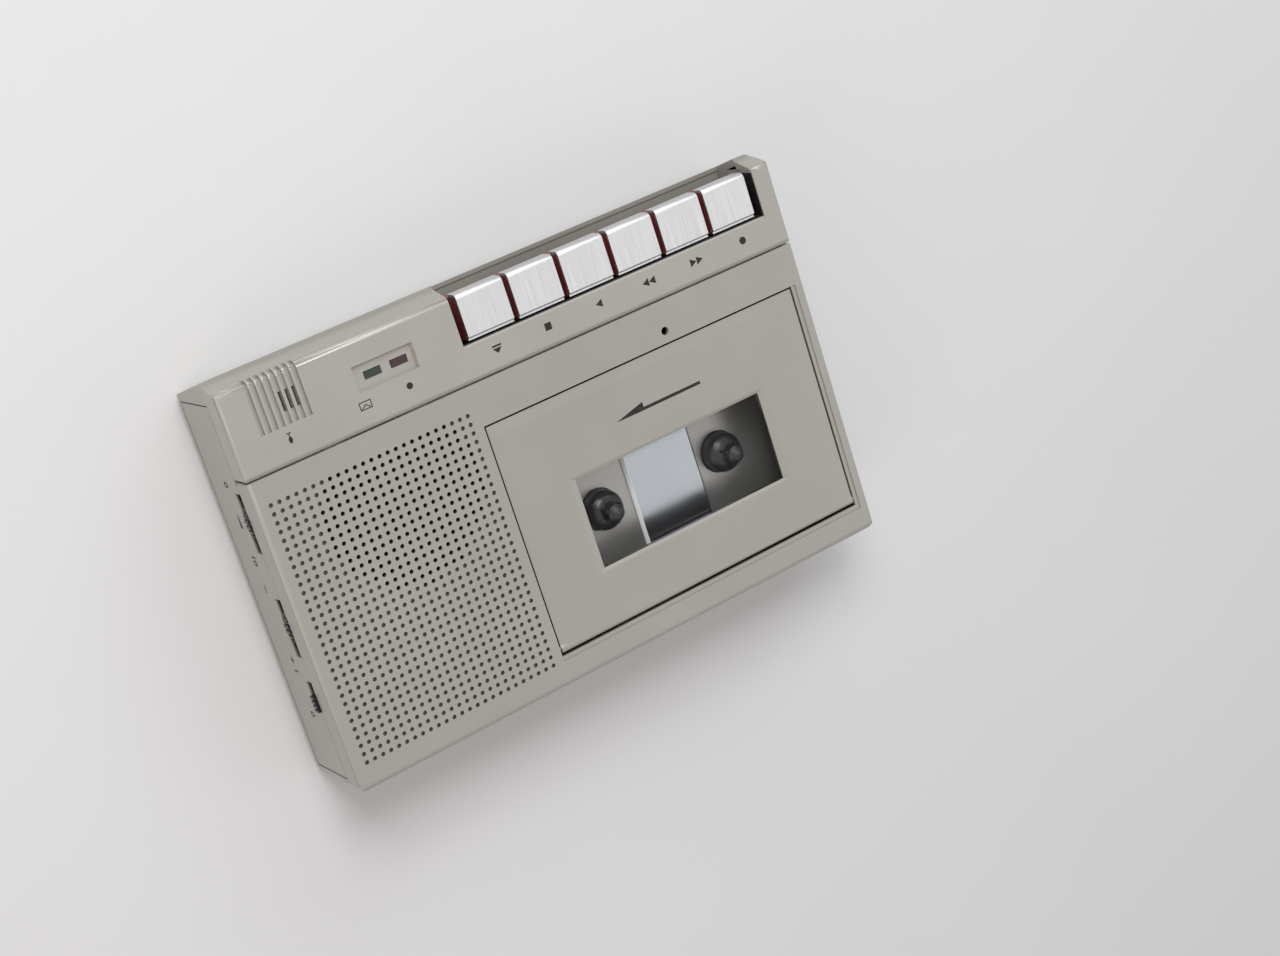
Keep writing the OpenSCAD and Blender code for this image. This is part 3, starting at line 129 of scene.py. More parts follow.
class Shading:
    """A new material's node tree, with short calls for the nodes used here."""

    def __init__(self, name: str) -> None:
        """Makes the material.

        Args:
            name: The material's name.
        """
        self.material = bpy.data.materials.new(name)
        self.material.use_nodes = True
        self.tree = self.material.node_tree
        self.bsdf = self.tree.nodes["Principled BSDF"]

    def add(self, kind: str, **inputs: Any) -> bpy.types.Node:
        """Adds a node and fills its inputs.

        Args:
            kind: The node's type name, without its ShaderNode prefix.
            inputs: Values or output sockets by input name, with _ for a blank.

        Returns:
            The new node.
        """
        node = self.tree.nodes.new("ShaderNode" + kind)
        for key, value in inputs.items():
            self.feed(node.inputs[key.replace("_", " ")], value)
        return node

    def feed(self, socket: bpy.types.NodeSocket, value: Any) -> None:
        """Links an output socket to an input, or sets its value.

        Args:
            socket: The input to fill.
            value: An output socket, a number, or a colour of three parts.
        """
        if isinstance(value, bpy.types.NodeSocket):
            self.tree.links.new(value, socket)
        elif socket.type == "RGBA":
            socket.default_value = (*value, 1.0)
        else:
            socket.default_value = value

    def surface(self, **inputs: Any) -> None:
        """Fills inputs of the material's main shader.

        Args:
            inputs: Values or output sockets by input name, with _ for a blank.
        """
        for key, value in inputs.items():
            self.feed(self.bsdf.inputs[key.replace("_", " ")], value)

    def place(self, stretch: Sequence[float] = (1.0, 1.0, 1.0)) -> bpy.types.NodeSocket:
        """The piece's own coordinates, in metres.

        Args:
            stretch: A factor for each axis; a small one draws a pattern out.

        Returns:
            The vector socket.
        """
        place = self.add("TexCoord").outputs["Object"]
        mapping = self.add("Mapping", Vector=place)
        mapping.inputs["Scale"].default_value = stretch
        return mapping.outputs["Vector"]

    def noise(self, place: bpy.types.NodeSocket, size: float, detail: float = 3.0) -> bpy.types.NodeSocket:
        """Cloudy noise.

        Args:
            place: The vector socket to read.
            size: The size of its spots, in metres.
            detail: The number of finer layers.

        Returns:
            The noise, from 0 to 1.
        """
        return self.add("TexNoise", Vector=place, Scale=1.0 / size, Detail=detail).outputs["Fac"]

    def spread(self, value: bpy.types.NodeSocket, low: float, high: float,
               start: float = 0.3, end: float = 0.7) -> bpy.types.NodeSocket:
        """Maps a value from one range to another.

        Args:
            value: The socket to map.
            low: The result at start.
            high: The result at end.
            start: The value that gives low.
            end: The value that gives high.

        Returns:
            The mapped socket, clamped.
        """
        node = self.add("MapRange", Value=value)
        for key, number in (("From Min", start), ("From Max", end), ("To Min", low), ("To Max", high)):
            node.inputs[key].default_value = number
        return node.outputs["Result"]

    def within(self, low: Place, high: Place) -> bpy.types.NodeSocket:
        """Tells the inside of a box from its outside.

        Args:
            low: The box's lowest corner, in mm of the piece's own coordinates.
            high: Its highest corner.

        Returns:
            A socket that is 1 inside and 0 outside.
        """
        parts = self.add("SeparateXYZ", Vector=self.add("TexCoord").outputs["Object"])
        inside = None
        for axis, start, end in zip("XYZ", low, high):
            for level, first, last in ((start, 0, 1), (end, 1, 0)):
                share = self.spread(parts.outputs[axis], first, last,
                                    (level - MASK_EDGE) * MM, (level + MASK_EDGE) * MM)
                inside = share if inside is None else self.math("MULTIPLY", inside, share)
        return inside

    def math(self, operation: str, first: Any, second: Any) -> bpy.types.NodeSocket:
        """Works out one value from two.

        Args:
            operation: The Math node's name for the operation.
            first: A number or a socket.
            second: A number or a socket.

        Returns:
            The result.
        """
        node = self.add("Math")
        node.operation = operation
        self.feed(node.inputs[0], first)
        self.feed(node.inputs[1], second)
        return node.outputs["Value"]

    def mix(self, share: bpy.types.NodeSocket, first: Any, second: Any) -> bpy.types.NodeSocket:
        """Mixes two colours.

        Args:
            share: How much of the second, from 0 to 1.
            first: A colour or a socket.
            second: A colour or a socket.

        Returns:
            The mixed colour.
        """
        node = self.tree.nodes.new("ShaderNodeMix")
        node.data_type = "RGBA"
        self.feed(node.inputs[MIX_SHARE], share)
        self.feed(node.inputs[MIX_FIRST], first)
        self.feed(node.inputs[MIX_SECOND], second)
        return node.outputs[MIX_RESULT]

    def painted(self, name: str) -> bpy.types.NodeSocket:
        """What already feeds an input of the material's main shader.

        Args:
            name: The input's name.

        Returns:
            The output socket that is linked to it.
        """
        return self.bsdf.inputs[name].links[0].from_socket

    def bump(self, height: bpy.types.NodeSocket, depth: float) -> bpy.types.NodeSocket:
        """Turns a height into a shading normal.

        Args:
            height: The height, from 0 to 1.
            depth: What a height of 1 stands for, in metres.

        Returns:
            The normal socket.
        """
        return self.add("Bump", Height=height, Distance=depth).outputs["Normal"]


def shade(colour: Colour, factor: float) -> Colour:
    """A colour made lighter or darker.

    Args:
        colour: The colour.
        factor: What each part is multiplied by.

    Returns:
        The new colour, with each part at most 1.
    """
    return tuple(min(1.0, part * factor) for part in colour)


@dataclass(frozen=True)
class Finish(ABC):
    """A surface finish that makes one material."""

    name: str

    def material(self) -> bpy.types.Material:
        """The finish's material, made on first use.

        Returns:
            The material.
        """
        if self.name not in MADE:
            shading = Shading(self.name)
            self.paint(shading)
            MADE[self.name] = shading.material
        return MADE[self.name]

    @abstractmethod
    def paint(self, shading: Shading) -> None:
        """Fills the material's nodes.

        Args:
            shading: The new material.
        """

    def dress(self, piece: bpy.types.Object) -> None:
        """Gives a piece this finish alone.

        Args:
            piece: The object to dress.
        """
        piece.data.materials.clear()
        piece.data.materials.append(self.material())


@dataclass(frozen=True)
class SatinPaint(Finish):
    """Silver-grey paint over fine-grained moulded plastic."""

    colour: Colour
    grain: float = 0.45 * MM
    grain_depth: float = 0.012 * MM
    roughness: float = 0.36
    metallic: float = 0.25
    coat: float = 0.25
    coat_roughness: float = 0.16
    cloud_size: float = 30 * MM
    cloud_tones: Pair = (0.965, 1.03)
    cloud_gloss: Pair = (-0.05, 0.06)
    fleck_size: float = 0.35 * MM
    fleck_share: float = 0.16
    fleck_tone: float = 1.3
    scratch_stretch: Place = (900, 14, 200)
    scratch_share: float = 0.10
    scratch_tone: float = 0.72

    def paint(self, shading: Shading) -> None:
        """Mottles the paint, flecks it, and adds grain and a few fine scratches.

        Args:
            shading: The new material.
        """
        place = shading.place()
        cloud = shading.noise(place, self.cloud_size, 4)
        fleck = shading.noise(place, self.fleck_size, 2)
        grain = shading.noise(place, self.grain, 2)
        scratch = shading.noise(shading.place(self.scratch_stretch), 1.0, 1)
        dark, light = (shade(self.colour, tone) for tone in self.cloud_tones)
        tone = shading.mix(shading.spread(cloud, 0, 1), dark, light)
        tone = shading.mix(shading.spread(fleck, 0, self.fleck_share, 0.5, 0.75), tone,
                           shade(self.colour, self.fleck_tone))
        tone = shading.mix(shading.spread(scratch, 0, self.scratch_share, 0.72, 0.8), tone,
                           shade(self.colour, self.scratch_tone))
        gloss = (self.roughness + change for change in self.cloud_gloss)
        shading.surface(Base_Color=tone, Metallic=self.metallic, Normal=shading.bump(grain, self.grain_depth),
                        Coat_Weight=self.coat, Coat_Roughness=self.coat_roughness,
                        Roughness=shading.spread(cloud, *gloss))


@dataclass(frozen=True)
class PaintWithInnerShade(SatinPaint):
    """The same paint, with painted shade: inside each box it is painted dark where its hollows, holes and gaps
    fall in shade.
    """

    shade_boxes: tuple[tuple[Place, Place, Colour], ...] = ()

    def paint(self, shading: Shading) -> None:
        """Paints the moulding, and paints shade inside each box, in the box's own dark colour.

        Args:
            shading: The new material.
        """
        super().paint(shading)
        # Painted shade: each box's hollows, holes and gaps are coloured dark because they fall in shade.
        for low, high, shade_tone in self.shade_boxes:
            tone = shading.mix(shading.within(low, high), shading.painted("Base Color"), shade_tone)
            shading.surface(Base_Color=tone)


@dataclass(frozen=True)
class PlateWithPaintedHighlight(SatinPaint):
    """Satin metal with a painted highlight: one edge painted pale and matt where it catches the light."""

    low: Place = (0.0, 0.0, 0.0)
    high: Place = (0.0, 0.0, 0.0)
    # The painted highlight's colour.
    edge: Colour = (0.93, 0.94, 0.95)
    highlight_roughness: float = 0.62
    highlight_metallic: float = 0.1

    def paint(self, shading: Shading) -> None:
        """Polishes the plate, and paints a pale matt highlight on the edge inside the box.

        Args:
            shading: The new material.
        """
        super().paint(shading)
        # Painted highlight: the edge inside the box is painted pale and matt, standing in for the light it
        # reflects.
        ground = shading.within(self.low, self.high)
        highlight_rough = shading.spread(ground, 0, self.highlight_roughness, 0.0, 1.0)
        shading.surface(Base_Color=shading.mix(ground, shading.painted("Base Color"), self.edge),
                        Roughness=shading.math("MAXIMUM", shading.painted("Roughness"), highlight_rough),
                        Metallic=shading.spread(ground, self.metallic, self.highlight_metallic, 0.0, 1.0))


@dataclass(frozen=True)
class BrushedMetal(Finish):
    """Bare metal with a drawn grain."""

    colour: Colour
    along: Axis = Axis.Y
    streak: float = 0.35 * MM
    contrast: float = 0.2
    roughness: float = 0.32
    drawn: float = 0.02
    relief: float = 0.006 * MM
    broad_streak: float = 7
    broad_share: float = 0.5
    broad_contrast: float = 0.8
    cloud_size: float = 9 * MM
    cloud_share: float = 0.2
    cloud_tone: float = 0.86
    streak_gloss: Pair = (0.1, -0.06)

    def paint(self, shading: Shading) -> None:
        """Draws light and dark streaks along the grain, and lets them roughen the gloss.

        Args:
            shading: The new material.
        """
        stretch = [self.drawn if part else 1.0 for part in self.along.value]
        fine = shading.noise(shading.place(stretch), self.streak, 3)
        broad = shading.noise(shading.place(stretch), self.streak * self.broad_streak, 2)
        cloud = shading.noise(shading.place(), self.cloud_size, 3)
        tone = shading.mix(shading.spread(fine, 0, 1), shade(self.colour, 1 - self.contrast), self.colour)
        tone = shading.mix(shading.spread(broad, 0, self.broad_share), tone,
                           shade(self.colour, 1 - self.contrast * self.broad_contrast))
        tone = shading.mix(shading.spread(cloud, 0, self.cloud_share), tone,
                           shade(self.colour, self.cloud_tone))
        gloss = (self.roughness + change for change in self.streak_gloss)
        shading.surface(Base_Color=tone, Metallic=1.0, Normal=shading.bump(fine, self.relief),
                        Roughness=shading.spread(fine, *gloss))


@dataclass(frozen=True)
class MouldedPlastic(Finish):
    """Plain moulded plastic, with a soft mottle, dust and a light gloss."""

    colour: Colour
    roughness: float = 0.35
    dust: float = 0.08
    grain: float = 0.6 * MM
    grain_depth: float = 0.01 * MM
    shine: float = 0.5
    cloud_size: float = 7 * MM
    cloud_tones: Pair = (0.88, 1.1)
    cloud_gloss: Pair = (-0.06, 0.1)
    dust_size: float = 0.5 * MM
    dust_colour: Colour = (0.5, 0.48, 0.45)

    def paint(self, shading: Shading) -> None:
        """Mottles the colour, lays on dust and breaks up the gloss.

        Args:
            shading: The new material.
        """
        place = shading.place()
        cloud = shading.noise(place, self.cloud_size, 4)
        speck = shading.noise(place, self.dust_size, 1)
        grain = shading.noise(place, self.grain, 2)
        dark, light = (shade(self.colour, tone) for tone in self.cloud_tones)
        tone = shading.mix(shading.spread(cloud, 0, 1), dark, light)
        tone = shading.mix(shading.spread(speck, 0, self.dust, 0.62, 0.8), tone, self.dust_colour)
        gloss = (self.roughness + change for change in self.cloud_gloss)
        shading.surface(Base_Color=tone, Normal=shading.bump(grain, self.grain_depth),
                        Specular_IOR_Level=self.shine, Roughness=shading.spread(cloud, *gloss))


@dataclass(frozen=True)
class ClearPane(Finish):
    """A clear flat pane: it lets light through and mirrors a little of the room."""

    gloss: float = 0.006
    rim_gloss: float = 0.3
    haze: float = 0.004
    tint: Colour = (0.96, 0.97, 0.98)
    slant_power: float = 4.0
    dust_size: float = 1.2 * MM

    def paint(self, shading: Shading) -> None:
        """Sets the share of mirror by the slant of view, with a trace of dust.

        Shadows and the mirrors behind the pane look straight through it.

        Args:
            shading: The new material.
        """
        slant = shading.add("LayerWeight", Blend=0.5).outputs["Facing"]
        steep = shading.math("POWER", slant, self.slant_power)
        dust = shading.noise(shading.place(), self.dust_size, 4)
        share = shading.math("ADD", shading.spread(steep, self.gloss, self.rim_gloss, 0.0, 1.0),
                             shading.spread(dust, 0, self.haze, 0.45, 0.8))
        ray = shading.add("LightPath").outputs
        passing = shading.math("MAXIMUM", ray["Is Shadow Ray"], ray["Is Glossy Ray"])
        seen = shading.math("MULTIPLY", share, shading.spread(passing, 1, 0, 0.0, 1.0))
        shading.surface(Base_Color=self.tint, Metallic=1.0, Alpha=seen,
                        Roughness=shading.spread(dust, 0.03, 0.12))


@dataclass(frozen=True)
class LampLens(Finish):
    """A coloured lamp lens over a dark, unlit lamp."""

    colour: Colour
    cloud_size: float = 1.6 * MM
    cloud_tones: Pair = (0.45, 1.25)
    cloud_gloss: Pair = (0.14, 0.26)
    flute_scale: float = 420.0
    flute_wave: float = 0.4
    flute_share: float = 0.25
    flute_tone: float = 0.5
    flute_depth: float = 0.02 * MM
    coat: float = 0.2
    coat_roughness: float = 0.08

    def paint(self, shading: Shading) -> None:
        """Clouds the lens between dark and brighter spots, with fine flutes.

        Args:
            shading: The new material.
        """
        place = shading.place()
        cloud = shading.noise(place, self.cloud_size, 2)
        flutes = shading.add("TexWave", Vector=place, Scale=self.flute_scale,
                             Distortion=self.flute_wave).outputs["Fac"]
        dark, light = (shade(self.colour, tone) for tone in self.cloud_tones)
        tone = shading.mix(shading.spread(cloud, 0, 1), dark, light)
        tone = shading.mix(shading.spread(flutes, 0, self.flute_share, 0.2, 0.9), tone,
                           shade(self.colour, self.flute_tone))
        shading.surface(Base_Color=tone, Roughness=shading.spread(cloud, *self.cloud_gloss),
                        Coat_Weight=self.coat, Coat_Roughness=self.coat_roughness,
                        Normal=shading.bump(flutes, self.flute_depth))


@dataclass(frozen=True)
class PressedPaper(Finish):
    """The fibrous paper of the speaker cone."""

    colour: Colour
    cloud_size: float = 4 * MM
    cloud_tones: Pair = (0.75, 1.15)
    cloud_gloss: Pair = (0.78, 0.92)
    fibre_size: float = 0.5 * MM
    fibre_stretch: Place = (1, 0.12, 1)
    fibre_share: float = 0.4
    fibre_tone: float = 1.6
    fibre_depth: float = 0.05 * MM

    def paint(self, shading: Shading) -> None:
        """Lays fibres over a cloudy ground.

        Args:
            shading: The new material.
        """
        fibre = shading.noise(shading.place(self.fibre_stretch), self.fibre_size, 4)
        cloud = shading.noise(shading.place(), self.cloud_size, 4)
        dark, light = (shade(self.colour, tone) for tone in self.cloud_tones)
        tone = shading.mix(shading.spread(cloud, 0, 1), dark, light)
        tone = shading.mix(shading.spread(fibre, 0, self.fibre_share), tone,
                           shade(self.colour, self.fibre_tone))
        shading.surface(Base_Color=tone, Normal=shading.bump(fibre, self.fibre_depth),
                        Roughness=shading.spread(cloud, *self.cloud_gloss))


@dataclass(frozen=True)
class PrintedBoard(Finish):
    """A laminate board with copper tracks under green lacquer."""

    lacquer: Colour = (0.03, 0.13, 0.06)
    track: Colour = (0.10, 0.26, 0.10)
    cell_scale: float = 260.0
    cell_disorder: float = 0.35
    track_from: Pair = (0.36, 0.4)
    track_depth: float = 0.03 * MM
    cloud_size: float = 5 * MM
    cloud_tones: Pair = (0.8, 1.2)
    cloud_gloss: Pair = (0.3, 0.42)
    coat: float = 0.4
    coat_roughness: float = 0.15

    def paint(self, shading: Shading) -> None:
        """Draws cell edges as tracks and mottles the lacquer between them.

        Args:
            shading: The new material.
        """
        place = shading.place((1, 1, 0))
        cells = shading.add("TexVoronoi", Vector=place, Scale=self.cell_scale, Randomness=self.cell_disorder)
        cells.distance = "CHEBYCHEV"
        cells.feature = "F1"
        cloud = shading.noise(place, self.cloud_size, 3)
        dark, light = (shade(self.lacquer, tone) for tone in self.cloud_tones)
        ground = shading.mix(shading.spread(cloud, 0, 1), dark, light)
        tracks = shading.spread(cells.outputs["Distance"], 0, 1, *self.track_from)
        shading.surface(Base_Color=shading.mix(tracks, ground, self.track), Coat_Weight=self.coat,
                        Coat_Roughness=self.coat_roughness, Normal=shading.bump(tracks, self.track_depth),
                        Roughness=shading.spread(cloud, *self.cloud_gloss))


@dataclass(frozen=True)
class MixedComponents(Finish):
    """The small parts of the board, each of a colour of its own."""

    black: Colour = (0.02, 0.02, 0.022)
    brown: Colour = (0.16, 0.07, 0.03)
    silver: Colour = (0.45, 0.45, 0.46)
    blue: Colour = (0.03, 0.07, 0.22)
    tan: Colour = (0.3, 0.2, 0.08)
    starts: tuple[float, ...] = (0.0, 0.42, 0.55, 0.68, 0.8)
    cell_scale: float = 110.0
    dust_colour: Colour = (0.1, 0.09, 0.08)
    dust_share: float = 0.35
    cloud_size: float = 2 * MM
    cloud_gloss: Pair = (0.3, 0.5)
    cloud_depth: float = 0.02 * MM

    def paint(self, shading: Shading) -> None:
        """Picks a colour by place, with a light mottle.

        Args:
            shading: The new material.
        """
        place = shading.place()
        cells = shading.add("TexVoronoi", Vector=place, Scale=self.cell_scale)
        ramp = shading.add("ValToRGB", Fac=cells.outputs["Color"])
        ramp.color_ramp.interpolation = "CONSTANT"
        stops = ramp.color_ramp.elements
        while len(stops) < len(self.starts):
            stops.new(0.5)
        colours = (self.black, self.brown, self.silver, self.blue, self.tan)
        for stop, start, colour in zip(stops, self.starts, colours):
            stop.position, stop.color = start, (*colour, 1.0)
        cloud = shading.noise(place, self.cloud_size, 3)
        tone = shading.mix(shading.spread(cloud, 0, self.dust_share), ramp.outputs["Color"], self.dust_colour)
        shading.surface(Base_Color=tone, Roughness=shading.spread(cloud, *self.cloud_gloss),
                        Normal=shading.bump(cloud, self.cloud_depth))


@dataclass(frozen=True)
class PrintInk(Finish):
    """Dark grey printing ink, slightly worn."""

    colour: Colour
    worn_colour: Colour = (0.3, 0.29, 0.27)
    worn_share: float = 0.15
    worn_size: float = 0.5 * MM
    worn_gloss: Pair = (0.5, 0.65)
    shine: float = 0.25

    def paint(self, shading: Shading) -> None:
        """Thins the ink here and there.

        Args:
            shading: The new material.
        """
        worn = shading.noise(shading.place(), self.worn_size, 4)
        tone = shading.mix(shading.spread(worn, 0, self.worn_share, 0.5, 0.8), self.colour, self.worn_colour)
        shading.surface(Base_Color=tone, Roughness=shading.spread(worn, *self.worn_gloss),
                        Specular_IOR_Level=self.shine)


@dataclass(frozen=True)
class StudioPaper(Finish):
    """The pale sheet that the machine lies on."""

    colour: Colour
    cloud_size: float = 90 * MM
    cloud_tone: float = 0.985
    roughness: float = 0.9
    shine: float = 0.1

    def paint(self, shading: Shading) -> None:
        """Gives the sheet a very faint mottle.

        Args:
            shading: The new material.
        """
        cloud = shading.noise(shading.place(), self.cloud_size, 4)
        tone = shading.mix(shading.spread(cloud, 0, 1), shade(self.colour, self.cloud_tone), self.colour)
        shading.surface(Base_Color=tone, Roughness=self.roughness, Specular_IOR_Level=self.shine)


CASE_COLOUR: Colour = (0.345, 0.331, 0.299)
STRIP_COLOUR: Colour = shade(CASE_COLOUR, 1.08)
# Painted shade: the dark colours laid inside the door, the face's openings, the speaker holes and the key bay.
INNER_SHADE_COLOUR: Colour = (0.022, 0.022, 0.023)
HOLE_SHADE_COLOUR: Colour = (0.1, 0.095, 0.088)
KEY_NAMES: tuple[str, ...] = ("record", "rewind", "forward", "play", "stop", "eject")
FINISHES: dict[Slot, Finish] = {
    Slot.CASE: SatinPaint("case_silver_paint", CASE_COLOUR),
    Slot.DECK: SatinPaint("deck_satin_metal", (0.34, 0.33, 0.31), 0.6 * MM, 0.001 * MM, 0.32, 0.76, 0.0),
    # The trim plate's edge inside this box carries a painted highlight.
    Slot.TRIM: PlateWithPaintedHighlight("trim_polish_painted_highlight", (0.42, 0.445, 0.47), 0.6 * MM, 0.0004 * MM, 0.23, 1.0, 0.0,
                          low=(-22.0, -60, 0), high=(-21, 60, 40)),
    Slot.BLACK: MouldedPlastic("black_moulding", (0.012, 0.012, 0.014), 0.3, 0.012, 0.9 * MM, 0.002 * MM),
    Slot.PANE: ClearPane("window_clear"),
    Slot.KEY: MouldedPlastic("key_dark_red", (0.24, 0.036, 0.04), 0.38, 0.05),
    Slot.CAP: BrushedMetal("cap_brushed_aluminium", (0.71, 0.71, 0.72), Axis.Y, 0.26 * MM, 0.26, 0.42),
    Slot.STEEL: BrushedMetal("steel_bright", (0.56, 0.57, 0.58), Axis.X, 0.3 * MM, 0.2, 0.25),
    Slot.BRASS: BrushedMetal("brass_turned", (0.72, 0.52, 0.22), Axis.Z, 0.3 * MM, 0.2, 0.28),
    Slot.HEAD: BrushedMetal("head_polished", (0.70, 0.69, 0.66), Axis.X, 0.2 * MM, 0.15, 0.2),
    Slot.HEAD_CASE: MouldedPlastic("head_moulding", (0.05, 0.05, 0.055), 0.4),
    Slot.RUBBER: MouldedPlastic("rubber_black", (0.022, 0.022, 0.022), 0.75, 0.12),
    Slot.PAPER: PressedPaper("cone_pressed_paper", (0.05, 0.045, 0.04)),
    Slot.MAGNET: MouldedPlastic("magnet_ferrite", (0.06, 0.06, 0.065), 0.6, 0.15),
    Slot.BOARD: PrintedBoard("board_laminate"),
    Slot.COMPONENTS: MixedComponents("components_mixed"),
    Slot.GREEN: LampLens("lens_green", (0.013, 0.032, 0.024)),
    Slot.RED: LampLens("lens_red", (0.05, 0.012, 0.018)),
}
SPINDLE_BLACK = MouldedPlastic("spindle_black", (0.009, 0.009, 0.011), 0.3, 0.01, 0.9 * MM, 0.001 * MM,
                               shine=0.4)
OWN_FINISHES: dict[str, Finish] = {
    "supply_spindle": SPINDLE_BLACK,
    "takeup_spindle": SPINDLE_BLACK,
    # Painted shade: the door's underside and inner walls, the face's opening walls and speaker holes, and the
    # key bay's walls are painted dark where shade falls.
    "cassette_door": PaintWithInnerShade("door_paint_inner_shade", CASE_COLOUR, shade_boxes=(
        ((-90, -30, 20), (30, 60, 30.95), INNER_SHADE_COLOUR),)),
    "front_panel": PaintWithInnerShade("face_paint_hole_shade", CASE_COLOUR, shade_boxes=(
        ((23.6, -25, 20), (85.7, 52.2, 31.2), HOLE_SHADE_COLOUR), ((-88, -31, 20), (88, 56, 30.3), INNER_SHADE_COLOUR))),
    "control_panel": PaintWithInnerShade("strip_paint_bay_shade", STRIP_COLOUR, shade_boxes=(
        ((-83.5, -54.6, 5), (20, -41.5, 31.05), INNER_SHADE_COLOUR),)),
}
SOFTENED: tuple[str, ...] = (
    "front_panel", "control_panel", "rear_cover", "end_panel", "cassette_door", "trim_plate", "deck_plate",
    *(f"{key}_{part}" for key in KEY_NAMES for part in ("key", "cap")),
)
INK = PrintInk("print_ink", (0.018, 0.016, 0.016))


class Symbol(Enum):
    """The printed marks: plain transport symbols and scale marks."""

    RECORD = "record"
    REWIND = "rewind"
    FORWARD = "forward"
    PLAY = "play"
    STOP = "stop"
    EJECT = "eject"
    MESSAGE = "message"
    MICROPHONE = "microphone"
    LOUDER = "louder"
    PLUS = "plus"
    MINUS = "minus"
    ONE = "one"
    NOUGHT = "nought"
    RUN_ARROW = "run_arrow"


def disc(radius: float, across: float = 1.0, corners: int = 28) -> Outline:
    """An outline of a disc or an oval.

    Args:
        radius: Half its height, in mm.
        across: Its width as a share of its height.
        corners: The number of corners.

    Returns:
        The outline's points, in mm.
    """
    turns = [math.tau * k / corners for k in range(corners)]
    return [(radius * across * math.cos(turn), radius * math.sin(turn)) for turn in turns]


def moved(outline: Outline, right: float, up: float) -> Outline:
    """An outline shifted in its plane.

    Args:
        outline: The points, in mm.
        right: The shift along the first axis.
        up: The shift along the second axis.

    Returns:
        The shifted points.
    """
    return [(u + right, v + up) for u, v in outline]


def oblong(width: float, height: float) -> Outline:
    """An oblong about its middle.

    Args:
        width: Its width, in mm.
        height: Its height, in mm.

    Returns:
        The outline's points.
    """
    half_w, half_h = width / 2, height / 2
    return [(-half_w, -half_h), (half_w, -half_h), (half_w, half_h), (-half_w, half_h)]


def ring_parts(outer: Outline, inner: Outline) -> list[Outline]:
    """The four-cornered patches between two outlines with the same number of points.

    Args:
        outer: The outer points.
        inner: The inner points.

    Returns:
        The patches.
    """
    count = len(outer)
    return [[outer[k], outer[(k + 1) % count], inner[(k + 1) % count], inner[k]] for k in range(count)]


TRIANGLE: Outline = [(-1.0, -1.15), (1.1, 0.0), (-1.0, 1.15)]


def symbol_parts(symbol: Symbol) -> list[Outline]:
    """The outlines that make a printed mark.

    Args:
        symbol: The mark.

    Returns:
        Outlines in mm about the mark's middle, none of which overlap.
    """
    back = [(-u, v) for u, v in reversed(TRIANGLE)]
    envelope = oblong(3.6, 2.3)
    parts: dict[Symbol, list[Outline]] = {
        Symbol.RECORD: [disc(1.1)],
        Symbol.REWIND: [moved(back, -1.1, 0), moved(back, 1.1, 0)],
        Symbol.FORWARD: [moved(TRIANGLE, -1.1, 0), moved(TRIANGLE, 1.1, 0)],
        Symbol.PLAY: [TRIANGLE],
        Symbol.STOP: [oblong(2.1, 2.1)],
        Symbol.EJECT: [[(-1.4, -0.25), (1.4, -0.25), (0.0, 1.2)], moved(oblong(2.8, 0.5), 0, -0.9)],
        Symbol.MESSAGE: ring_parts(envelope, oblong(3.1, 1.8))
        + [[(-1.4, 0.75), (0.0, -0.35), (1.4, 0.75), (1.15, 0.85), (0.0, -0.02), (-1.15, 0.85)]],
        Symbol.MICROPHONE: [moved(disc(0.95, 0.58, 20), 0, 0.4), moved(oblong(0.26, 0.7), 0, -0.95),
                            moved(oblong(1.3, 0.26), 0, -1.43)],
        Symbol.LOUDER: [[(-1.6, -0.12), (1.6, -0.6), (1.6, 0.6), (-1.6, 0.12)]],
        Symbol.PLUS: [oblong(1.6, 0.36), moved(oblong(0.36, 0.62), 0, 0.49),
                      moved(oblong(0.36, 0.62), 0, -0.49)],
        Symbol.MINUS: [oblong(1.6, 0.36)],
        Symbol.ONE: [oblong(0.38, 1.9)],
        Symbol.NOUGHT: ring_parts(disc(0.95, 0.7), disc(0.62, 0.55)),
        Symbol.RUN_ARROW: [[(-14.6, -0.4), (5.0, -0.4), (5.0, -1.95), (14.6, 0.4), (6.0, 0.5), (-14.6, 0.5)]],
    }
    return parts[symbol]


@dataclass
class PrintSheet:
    """Thin printed marks on one flat face, made as one piece."""

    name: str
    body: Body
    origin: Vector
    right: Axis
    up: Axis
    facing: Axis
    ink: float = 0.03 * MM
    sunk: float = 0.01 * MM
    outlines: list[Outline] = field(default_factory=list)

    def stamp(self, symbol: Symbol, across: float, up: float, size: float = 1.0) -> None:
        """Adds a mark.

        Args:
            symbol: The mark.
            across: Its middle along the sheet's first axis, in mm from the origin.
            up: Its middle along the second axis.
            size: Its scale.
        """
        for outline in symbol_parts(symbol):
            self.outlines.append(moved([(u * size, v * size) for u, v in outline], across, up))

    def make(self) -> bpy.types.Object:
        """Builds the marks as thin closed slabs, inks them and sets them on their body.

        Returns:
            The new piece.
        """
        right, up, facing = (Vector(axis.value) for axis in (self.right, self.up, self.facing))
        base = self.origin - facing * self.sunk
        mesh = bmesh.new()
        for outline in self.outlines:
            corners = [mesh.verts.new(base + (right * u + up * v) * MM) for u, v in outline]
            mesh.faces.new(corners)
        lifted = bmesh.ops.extrude_face_region(mesh, geom=mesh.faces[:])
        tops = [item for item in lifted["geom"] if isinstance(item, bmesh.types.BMVert)]
        bmesh.ops.translate(mesh, verts=tops, vec=facing * (self.ink + self.sunk))
        bmesh.ops.recalc_face_normals(mesh, faces=mesh.faces[:])
        piece = piece_from(mesh, self.name)
        INK.dress(piece)
        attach(piece, self.body.value)
        return piece


